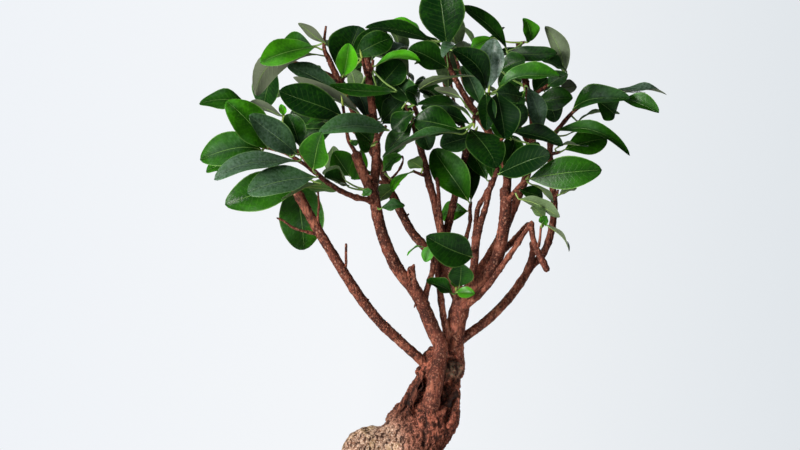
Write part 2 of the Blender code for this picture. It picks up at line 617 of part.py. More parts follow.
def back_twig(limb, place, draw):
    """The path of a twig on a limb behind the picture."""
    path = [p for p, r in limb_rings(limb)]
    heading = (path[-1] - path[-2]).normalized()
    swing = Vector((draw.uniform(-1, 1), draw.uniform(0.1, 0.8), draw.uniform(0.2, 0.9))).normalized()
    ahead = (heading * (4 if place == "end" else 0.3) + swing).normalized()
    foot = along(path, 1.0 if place == "end" else draw.uniform(0.5, 0.7))
    rise = Vector((0, 0, 0.4))
    steps = [ahead * 11, (ahead + rise) * 20, (ahead + rise * 1.4) * 27]
    return clear_start([foot] + [foot + step * MM for step in steps], 1.4 * MM)


def free_twig(limb, place, obstacles, draw):
    """The first twig drawn that clears the wood and every other twig, or None."""
    twigs = [o for o in obstacles if o[0] == "twig"]
    for trial in range(120):
        path = back_twig(limb, place, draw)
        wide = tube(path[1:], [2.5 * MM] * (len(path) - 1), 5, True)
        if not meets(wide, obstacles) and not meets(tube(path, [2.0 * MM] * len(path), 5, True), twigs):
            return path
    return None


def back_leaves(twig, count, draw):
    """Leaves set round a twig that the picture doesn't show, each a fixed turn after the last."""
    tangent = (twig[-1] - twig[0]).normalized()
    side = tangent.orthogonal().normalized()
    spin = draw.uniform(0, 6.28)
    leaves = []
    for k in range(count):
        root = along(twig, 0.4 + 0.56 * k / (count - 1))
        radial = side * math.cos(spin + 2.4 * k) + tangent.cross(side) * math.sin(spin + 2.4 * k)
        lean = math.radians(draw.uniform(46, 66))
        way = (tangent * math.cos(lean) + radial * math.sin(lean) + Vector((0, 0.15, 0.1))).normalized()
        out = Vector((way.x, way.y, 0))
        length, width, turn = draw.uniform(27, 35), draw.uniform(15, 19), draw.uniform(-14, 14)
        leaves.append(back_leaf(root, way, out, length, width, turn))
    return leaves


def laid_out():
    """name: (path, radii, leaves) of every shoot, with the leaves clear of the wood and of each other."""
    shoots = {}
    obstacles = [obstacle("wood", "", *tube(path, [r + 0.5 * MM for r in radii], 7)) for path, radii in WOOD]
    for name, entry in SHOOTS.items():
        path = shoot_path(name)
        radii = shoot_radii(name, len(path))
        shoots[name] = (path, radii, [first_leaf(path, leaf, k) for k, leaf in enumerate(entry[-1])])
        obstacles.append(twig_obstacle(name, path, radii))
    draw = random.Random(11)
    for limb in BACK_LIMBS:
        for place in ("side", "end"):
            name = limb + "_" + place
            path = free_twig(limb, place, obstacles, draw)
            if path is None:
                print("left out, as it finds no free place:", name)
                continue
            radii = [(1.4 - 0.5 * k / (len(path) - 1)) * MM for k in range(len(path))]
            shoots[name] = (path, radii, back_leaves(path, 5 if place == "end" else 4, draw))
            obstacles.append(twig_obstacle(name, path, radii))
    for name, (path, radii, leaves) in shoots.items():
        tried, leaves[:] = list(leaves), []
        for k, leaf in enumerate(tried):
            count, leaf = settled(name, leaf, obstacles)
            if count:
                print("left out, as it finds no free place:", name, k)
                continue
            leaves.append(leaf)
            obstacles.append(obstacle("leaf", name, *leaf_solid(leaf, 1.2 * MM)))
            obstacles.append(obstacle("blade", name, *leaf_solid(leaf, 1.2 * MM, False)))
    return shoots


def new_object(name, points, faces, collection=None):
    mesh = bpy.data.meshes.new(name)
    mesh.from_pydata([tuple(p) for p in points], [], [tuple(f) for f in faces])
    work = bmesh.new()
    work.from_mesh(mesh)
    bmesh.ops.recalc_face_normals(work, faces=work.faces)
    if work.calc_volume(signed=True) < 0:
        bmesh.ops.reverse_faces(work, faces=work.faces)
    work.to_mesh(mesh)
    work.free()
    obj = bpy.data.objects.new(name, mesh)
    (collection or bpy.context.scene.collection).objects.link(obj)
    return obj


def applied(obj):
    """Puts what the modifiers make in the object's own mesh."""
    bpy.context.view_layer.update()
    mesh = bpy.data.meshes.new_from_object(obj.evaluated_get(bpy.context.evaluated_depsgraph_get()))
    obj.modifiers.clear()
    obj.data = mesh
    return obj


def joined(obj, solids):
    """The object with every other (points, faces) solid joined to it by one Boolean."""
    helpers = bpy.data.collections.new("helpers of " + obj.name)
    bpy.context.scene.collection.children.link(helpers)
    for points, faces in solids:
        new_object("helper", points, faces, helpers)
    union = obj.modifiers.new("union", "BOOLEAN")
    union.operation = "UNION"
    union.operand_type = "COLLECTION"
    union.collection = helpers
    union.solver = "EXACT"
    applied(obj)
    for helper in list(helpers.objects):
        bpy.data.objects.remove(helper)
    bpy.data.collections.remove(helpers)
    return obj


def merged(obj):
    """The object with the Boolean's smallest triangles merged, if it still is one closed surface then."""
    whole = obj.data
    weld = obj.modifiers.new("weld", "WELD")
    weld.merge_threshold = 0.1 * MM
    flat = obj.modifiers.new("flat", "DECIMATE")
    flat.decimate_type = "DISSOLVE"
    flat.angle_limit = math.radians(0.6)
    applied(obj)
    work = bmesh.new()
    work.from_mesh(obj.data)
    if any(len(edge.link_faces) != 2 for edge in work.edges):
        obj.data = whole
    work.free()
    return obj


def root_foot(name):
    """Where a root goes into the soil, and its radius there."""
    point = seen(*BODY[name][-1][:3])
    return point, BODY[name][-1][3] * MM


def rough_tube(rings, sides, seed):
    points = [seen(*r[:3]) for r in rings]
    out, faces = tube(points, [r[3] * MM for r in rings], sides)
    moved = []
    for k, p in enumerate(out):
        middle = points[min(k // sides, len(points) - 1)]
        broad, fine = noise.noise(p * 45 + Vector((seed, 0, 0))), noise.noise(p * 120 + Vector((0, seed, 0)))
        moved.append(middle + (p - middle) * (1 + 0.10 * broad + 0.05 * fine))
    return moved, faces


def slimmed(rings, within):
    """The rings that a limb needs to stay this close to all of its rings."""
    if len(rings) < 3:
        return rings
    (start, _), (end, _) = rings[0], rings[-1]
    run = end - start
    off = [(p - start - run * ((p - start).dot(run) / run.length_squared)).length for p, r in rings[1:-1]]
    far = off.index(max(off)) + 1
    if off[far - 1] < within:
        return [rings[0], rings[-1]]
    return slimmed(rings[: far + 1], within)[:-1] + slimmed(rings[far:], within)


def build_trunk():
    solids = [rough_tube(rings, 12, k * 3.7) for k, rings in enumerate(BODY.values())]
    trunk = joined(new_object("trunk", *solids[0]), solids[1:])
    remesh = trunk.modifiers.new("skin", "REMESH")
    remesh.mode = "VOXEL"
    remesh.voxel_size = 0.0021
    smooth = trunk.modifiers.new("soft", "SMOOTH")
    smooth.iterations = 3
    applied(trunk)
    for vertex in trunk.data.vertices:
        p = vertex.co
        ridge = noise.noise(Vector((p.x * 160, p.y * 160, p.z * 55))) * 1.5 * MM
        vertex.co = p + vertex.normal * ridge
    thin = trunk.modifiers.new("thin", "DECIMATE")
    thin.ratio = 1350 / (2 * len(trunk.data.polygons))
    applied(trunk)
    more = []
    for name in ROOT_ENDS:
        foot, radius = root_foot(name)
        top = foot + Vector((0, 0, 6 * MM))
        bottom = Vector((foot.x, foot.y, PEG_FOOT * MM))
        more.append(tube([bottom, foot, top], [radius, radius, radius * 0.6], 12))
    draw = random.Random(7)
    for name in LIMBS:
        path, radii = zip(*slimmed(limb_rings(name), 0.7 * MM))
        swelled = [r * draw.uniform(0.97, 1.06) for r in radii]
        more.append(tube(path, swelled, 7 if radii[0] > 4 * MM else 6 if radii[0] > 2.3 * MM else 5))
    return joined(trunk, more)


def revolved(name, outline):
    """A closed body turned round Z from (radius, height) points in mm that start and end on the axis."""
    points, faces = [Vector((0, 0, outline[0][1] * MM))], []
    for radius, height in outline[1:-1]:
        for k in range(POT_SIDES):
            angle = 2 * math.pi * k / POT_SIDES
            points.append(Vector((radius * math.cos(angle), radius * math.sin(angle), height)) * MM)
    points.append(Vector((0, 0, outline[-1][1] * MM)))
    rings = len(outline) - 2
    for k in range(POT_SIDES):
        after = (k + 1) % POT_SIDES
        faces.append([0, 1 + after, 1 + k])
        last = 1 + (rings - 1) * POT_SIDES
        faces.append([len(points) - 1, last + k, last + after])
        for ring in range(rings - 1):
            a, b = 1 + ring * POT_SIDES, 1 + (ring + 1) * POT_SIDES
            faces += [[a + k, a + after, b + after], [a + k, b + after, b + k]]
    return new_object(name, points, faces)


def drilled(obj, holes, sides):
    """The object with each (x, y, radius, foot, top) plain hole cut in one Boolean."""
    helpers = bpy.data.collections.new("holes of " + obj.name)
    bpy.context.scene.collection.children.link(helpers)
    for x, y, radius, foot, top in holes:
        ends = [Vector((x, y, foot)), Vector((x, y, top))]
        new_object("hole", *tube(ends, [radius, radius], sides), helpers)
    cut = obj.modifiers.new("holes", "BOOLEAN")
    cut.operation = "DIFFERENCE"
    cut.operand_type = "COLLECTION"
    cut.collection = helpers
    cut.solver = "EXACT"
    applied(obj)
    for helper in list(helpers.objects):
        bpy.data.objects.remove(helper)
    bpy.data.collections.remove(helpers)
    return obj


def build_pot():
    pot = revolved("pot", [
        (0, 0), (52, 0), (54, 1.5), (71.5, 98), (75, 99.5), (75, 109),
        (73.5, 110.5), (70.8, 110), (69.6, 98), (51.6, 8), (0, 8)
    ])
    holes = []
    for turn in (45, 135, 225, 315):
        angle = math.radians(turn)
        holes.append((32 * MM * math.cos(angle), 32 * MM * math.sin(angle), 4 * MM, -5 * MM, 14 * MM))
    return drilled(pot, holes, 8)


def build_soil():
    outline = [(0, SOIL_FLOOR), (51.2, SOIL_FLOOR), (69.1, SOIL_TOP - 1.2), (60, SOIL_TOP), (0, SOIL_TOP)]
    soil = revolved("soil", outline)
    holes = []
    for name in ROOT_ENDS:
        foot, radius = root_foot(name)
        holes.append((foot.x, foot.y, radius + 0.4 * MM, (PEG_FOOT - 2) * MM, (SOIL_TOP + 8) * MM))
    return drilled(soil, holes, 12)


def seated(path, radius, wood):
    """The path with its start slid along its first stretch, to stand a hair's gap off the wood."""
    ahead = (path[1] - path[0]).normalized()
    side = ahead.orthogonal().normalized()
    other = ahead.cross(side)

    def clear(at):
        for t in range(6):
            point = at + (side * math.cos(t) + other * math.sin(t)) * radius
            near, normal, _, distance = wood.find_nearest(point)
            if distance < SEAT_GAP or (point - near).dot(normal) < 0:
                return False
        stretch = tube([at, path[1]], [radius + 0.2 * MM] * 2, 6)
        return not BVHTree.FromPolygons(*stretch).overlap(wood)

    at, step = path[0], ahead * 0.05 * MM
    while not clear(at):
        at = at + step
    while clear(at - step) and (at - path[0]).length < 4 * MM:
        at = at - step
    return [at] + path[1:]


def build_shoot(name, path, radii, leaves, wood):
    sides = 5 if radii[0] > 1.35 * MM else 4
    obj = new_object("shoot_" + name, *tube(seated(path, radii[0], wood), radii, sides, True))
    return merged(joined(obj, [leaf_solid(leaf, LEAF_THICKNESS) for leaf in leaves]))


def finished(obj, kind):
    """The object with its material, and smooth but for its sharp edges."""
    colour, roughness = MATERIALS[kind]
    surface = bpy.data.materials.get(kind)
    if surface is None:
        surface = bpy.data.materials.new(kind)
        surface.use_nodes = True
        shader = surface.node_tree.nodes["Principled BSDF"]
        shader.inputs["Base Color"].default_value = (*colour, 1.0)
        shader.inputs["Roughness"].default_value = roughness
        shader.inputs["Metallic"].default_value = 0.0
    obj.data.materials.clear()
    obj.data.materials.append(surface)
    obj.data.shade_smooth()
    obj.data.set_sharp_from_angle(angle=math.radians(40))
    return obj


def main():
    for obj in list(bpy.data.objects):
        bpy.data.objects.remove(obj)
    finished(build_pot(), "pot")
    finished(build_soil(), "soil")
    trunk = finished(build_trunk(), "bark")
    points = [v.co.copy() for v in trunk.data.vertices]
    wood = BVHTree.FromPolygons(points, [tuple(p.vertices) for p in trunk.data.polygons])
    for name, (path, radii, leaves) in laid_out().items():
        finished(build_shoot(name, path, radii, leaves, wood), "leaf")


# The base colour and roughness of each material, from the picture.
MATERIALS = {
    "pot": ((0.86, 0.86, 0.84), 0.35),
    "soil": ((0.09, 0.06, 0.04), 0.95),
    "bark": ((0.32, 0.19, 0.14), 0.85),
    "leaf": ((0.07, 0.24, 0.05), 0.38),
}
SEAT_GAP = 0.3 * MM
BACK_LIMBS = ("back_left", "back_middle", "back_fan", "back_right", "back_high", "back_top")
LEAF_THICKNESS = 0.7 * MM
WOOD = [tuple(zip(*limb_rings(name))) for name in LIMBS]

if __name__ == "__main__":
    main()
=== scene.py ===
"""Ginseng ficus in a plain pot: bark, soil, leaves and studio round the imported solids.

The layout tables give each limb, twig and leaf by where the picture shows it and how deep it lies.
"""

import json
import math
import random
from collections import namedtuple
from functools import partial

import bpy
from bpy.props import FloatProperty, FloatVectorProperty, IntProperty, PointerProperty
from bpy.types import Operator, Panel, PropertyGroup
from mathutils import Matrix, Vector, noise
from mathutils.bvhtree import BVHTree

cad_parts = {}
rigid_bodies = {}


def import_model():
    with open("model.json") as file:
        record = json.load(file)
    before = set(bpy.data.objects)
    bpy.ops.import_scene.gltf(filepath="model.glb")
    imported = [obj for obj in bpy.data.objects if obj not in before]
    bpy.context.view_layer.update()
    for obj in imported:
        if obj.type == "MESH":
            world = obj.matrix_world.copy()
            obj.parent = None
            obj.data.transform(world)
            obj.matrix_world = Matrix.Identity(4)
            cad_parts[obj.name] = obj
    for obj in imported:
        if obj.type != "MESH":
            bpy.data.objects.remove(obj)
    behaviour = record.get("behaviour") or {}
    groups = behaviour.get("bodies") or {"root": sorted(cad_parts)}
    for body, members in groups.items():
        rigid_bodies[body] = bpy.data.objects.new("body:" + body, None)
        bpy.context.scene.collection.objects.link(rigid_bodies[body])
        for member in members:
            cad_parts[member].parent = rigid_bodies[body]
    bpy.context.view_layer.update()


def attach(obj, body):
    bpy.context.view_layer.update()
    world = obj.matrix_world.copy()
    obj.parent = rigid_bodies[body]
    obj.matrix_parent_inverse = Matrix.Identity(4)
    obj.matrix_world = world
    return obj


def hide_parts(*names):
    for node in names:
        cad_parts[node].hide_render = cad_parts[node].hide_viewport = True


bl_info = {
    "name": "Ginseng ficus",
    "version": (1, 0, 0),
    "blender": (4, 5, 0),
    "location": "View3D > Sidebar > Ficus",
    "description": "Bark, soil, leaves, pot and studio for a small potted ficus",
    "category": "Object",
}

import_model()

# The picture: metres per pixel at the pot's axis, how far off the eye is, and where it looks.
PIXEL = 0.00064
EYE_DISTANCE = 1.5
PICTURE_CENTRE = (400, 225)
POT_COLUMN = 404
FRAME_FOOT_ROW, FRAME_FOOT_Z = 450, 0.176
EYE = Vector((
    (PICTURE_CENTRE[0] - POT_COLUMN) * PIXEL,
    -EYE_DISTANCE,
    FRAME_FOOT_Z + (FRAME_FOOT_ROW - PICTURE_CENTRE[1]) * PIXEL,
))
MM = 0.001


def seen(column, row, depth):
    """The point that the picture shows at this column and row, this many mm behind the pot's axis."""
    y = depth * MM
    spread = PIXEL * (1 + y / EYE_DISTANCE)
    across, up = column - PICTURE_CENTRE[0], PICTURE_CENTRE[1] - row
    return Vector((EYE.x + across * spread, y, EYE.z + up * spread))


# limb: (radius at its foot and at its tip in mm, [(column, row, depth mm)...] of its middle line)
LIMBS = {
    "left": (3.3, 3.1, [
        (434, 376, -4), (423, 362, -8), (400, 341, -14), (380, 322, -20), (362, 300, -24),
        (346, 276, -27), (332, 253, -28), (318, 230, -28), (307, 210, -28), (298, 194, -27),
        (294, 186, -26),
    ]),
    "left_spur_a": (0.9, 0.6, [(320, 232, -28), (318, 218, -30), (319, 205, -31), (318, 192, -31)]),
    "left_spur_b": (0.9, 0.6, [
        (316, 234, -28), (303, 231, -31), (292, 227, -33), (284, 221, -34), (277, 218, -35),
    ]),
    "left_spur_c": (0.9, 0.7, [(344, 274, -27), (346, 264, -29), (346, 254, -30), (346, 244, -30)]),
    "front": (5.4, 2.0, [
        (428, 422, -18), (431, 408, -23), (433, 395, -24), (436, 378, -21), (440, 358, -15),
        (440, 345, -12), (434, 332, -12), (427, 315, -14), (419, 297, -17), (410, 284, -20),
        (399, 271, -24), (390, 254, -28), (383, 236, -30), (378, 218, -32), (375, 202, -32),
        (373, 190, -30), (375, 176, -24), (376, 162, -20), (376, 148, -18), (374, 132, -16),
        (373, 115, -14), (371, 98, -12), (369, 80, -10), (368, 66, -9), (367, 53, -9),
    ]),
    "front_stump": (3.4, 3.2, [
        (374, 196, -31), (368, 184, -30), (362, 170, -28), (358, 160, -27), (356, 154, -26),
    ]),
    "front_stub": (2.7, 2.3, [(417, 293, -19), (413, 280, -22), (411, 268, -23)]),
    "front_fork": (2.0, 1.6, [(423, 303, -17), (428, 286, -15), (432, 272, -13), (433, 263, -12)]),
    "left_twig": (1.9, 1.4, [
        (375, 203, -32), (368, 200, -36), (355, 197, -42), (341, 191, -47), (327, 182, -51),
        (315, 172, -53), (306, 165, -54),
    ]),
    "main": (7.6, 6.0, [
        (451, 392, 2), (454, 370, 4), (453, 350, 3), (455, 328, 2), (460, 308, 1), (463, 296, 0),
    ]),
    "bow": (3.3, 1.9, [
        (461, 304, 4), (452, 287, 4), (442, 270, 4), (433, 256, 6), (424, 246, 8), (412, 232, 10),
        (403, 216, 12), (396, 202, 13), (388, 186, 13), (382, 170, 12), (374, 152, 10), (365, 137, 8),
        (357, 120, 6), (349, 101, 5), (342, 87, 3), (336, 75, 1), (330, 62, -1),
    ]),
    "bow_twig": (0.9, 0.6, [(387, 183, 13), (393, 177, 9), (399, 170, 7), (403, 161, 6), (402, 156, 6)]),
    "inner": (2.2, 1.9, [
        (448, 338, -2), (444, 320, -5), (441, 300, -6), (439, 282, -4), (437, 268, 0), (435, 259, 5),
    ]),
    "fan": (3.4, 3.2, [(463, 300, -1), (456, 284, -3), (449, 266, -4), (445, 250, -4), (443, 236, -4)]),
    "fan_left": (2.7, 1.9, [
        (444, 240, -4), (438, 218, -4), (434, 200, -4), (429, 182, -4), (425, 165, -3), (421, 150, -2),
        (417, 135, -3), (413, 120, -4),
    ]),
    "fan_mid": (1.5, 1.0, [
        (443, 238, -5), (440, 215, -10), (439, 200, -12), (438, 188, -13), (437, 178, -13),
    ]),
    "fan_right": (2.5, 1.9, [
        (444, 240, -4), (450, 218, 2), (455, 196, 6), (459, 178, 8), (464, 160, 10), (467, 148, 11),
    ]),
    "fan_twig": (1.5, 1.2, [(451, 272, -2), (460, 255, 4), (466, 238, 7), (470, 222, 8), (470, 208, 8)]),
    "knee": (4.4, 3.6, [
        (462, 300, -1), (472, 289, -5), (487, 276, -9), (497, 258, -13), (502, 238, -15), (505, 218, -17),
        (506, 202, -17), (505, 190, -17),
    ]),
    "knee_top": (2.8, 1.6, [
        (505, 200, -17), (507, 184, -15), (507, 172, -13), (502, 156, -11), (495, 142, -9),
        (486, 128, -7), (476, 113, -6), (466, 98, -5), (457, 82, -5), (450, 68, -5), (446, 55, -5),
    ]),
    "knee_side": (2.2, 1.8, [
        (501, 250, -13), (508, 246, -6), (516, 238, -2), (524, 229, 0), (529, 224, 0),
    ]),
    "shade": (3.2, 1.9, [
        (463, 298, 4), (476, 276, 12), (488, 258, 17), (497, 243, 21), (505, 228, 25), (512, 212, 28),
        (518, 197, 30), (524, 183, 31), (529, 168, 30), (532, 150, 27), (533, 128, 24), (531, 108, 21),
        (527, 88, 18), (523, 70, 16), (519, 54, 14), (519, 44, 14),
    ]),
    "pale": (2.5, 1.5, [
        (464, 300, -2), (472, 280, -8), (475, 260, -11), (477, 240, -12), (481, 222, -12),
        (486, 206, -11), (489, 192, -9), (495, 176, -6), (498, 168, -4),
    ]),
    "dark": (2.1, 1.4, [
        (464, 295, 2), (468, 286, 2), (473, 265, 2), (474, 245, 3), (476, 225, 5), (478, 208, 6),
        (484, 197, 6), (489, 188, 6),
    ]),
    "slim": (2.1, 1.4, [
        (462, 308, -4), (476, 298, -12), (490, 283, -16), (502, 266, -18), (512, 252, -20),
        (521, 238, -21), (527, 229, -21), (532, 222, -21),
    ]),
    "drop": (1.7, 2.2, [
        (531, 223, -21), (533, 238, -24), (537, 250, -26), (543, 262, -27), (547, 270, -27),
    ]),
    "right": (3.2, 1.7, [
        (456, 342, 4), (470, 333, 8), (485, 322, 12), (500, 308, 16), (513, 293, 19), (523, 279, 21),
        (531, 266, 23), (541, 257, 24), (548, 243, 25), (552, 228, 25), (554, 212, 25), (554, 198, 25),
        (552, 184, 24), (551, 168, 22), (550, 152, 19), (551, 138, 16),
    ]),
    "right_stub": (2.2, 1.9, [(528, 270, 22), (531, 260, 21), (533, 250, 19), (532, 243, 18)]),
    "back_left": (2.2, 1.5, [(376, 156, 10), (362, 138, 28), (346, 124, 42)]),
    "back_middle": (2.1, 1.4, [(419, 142, -2), (420, 124, 22), (414, 106, 44)]),
    "back_fan": (2.0, 1.4, [(466, 152, 11), (464, 132, 32), (458, 112, 52)]),
    "back_right": (2.2, 1.5, [(531, 160, 28), (528, 142, 46), (518, 126, 60)]),
    "back_high": (1.9, 1.3, [(359, 124, 6), (372, 110, 22), (386, 96, 36)]),
    "back_top": (1.9, 1.3, [(468, 105, -5), (474, 96, 16), (480, 88, 34)]),
}

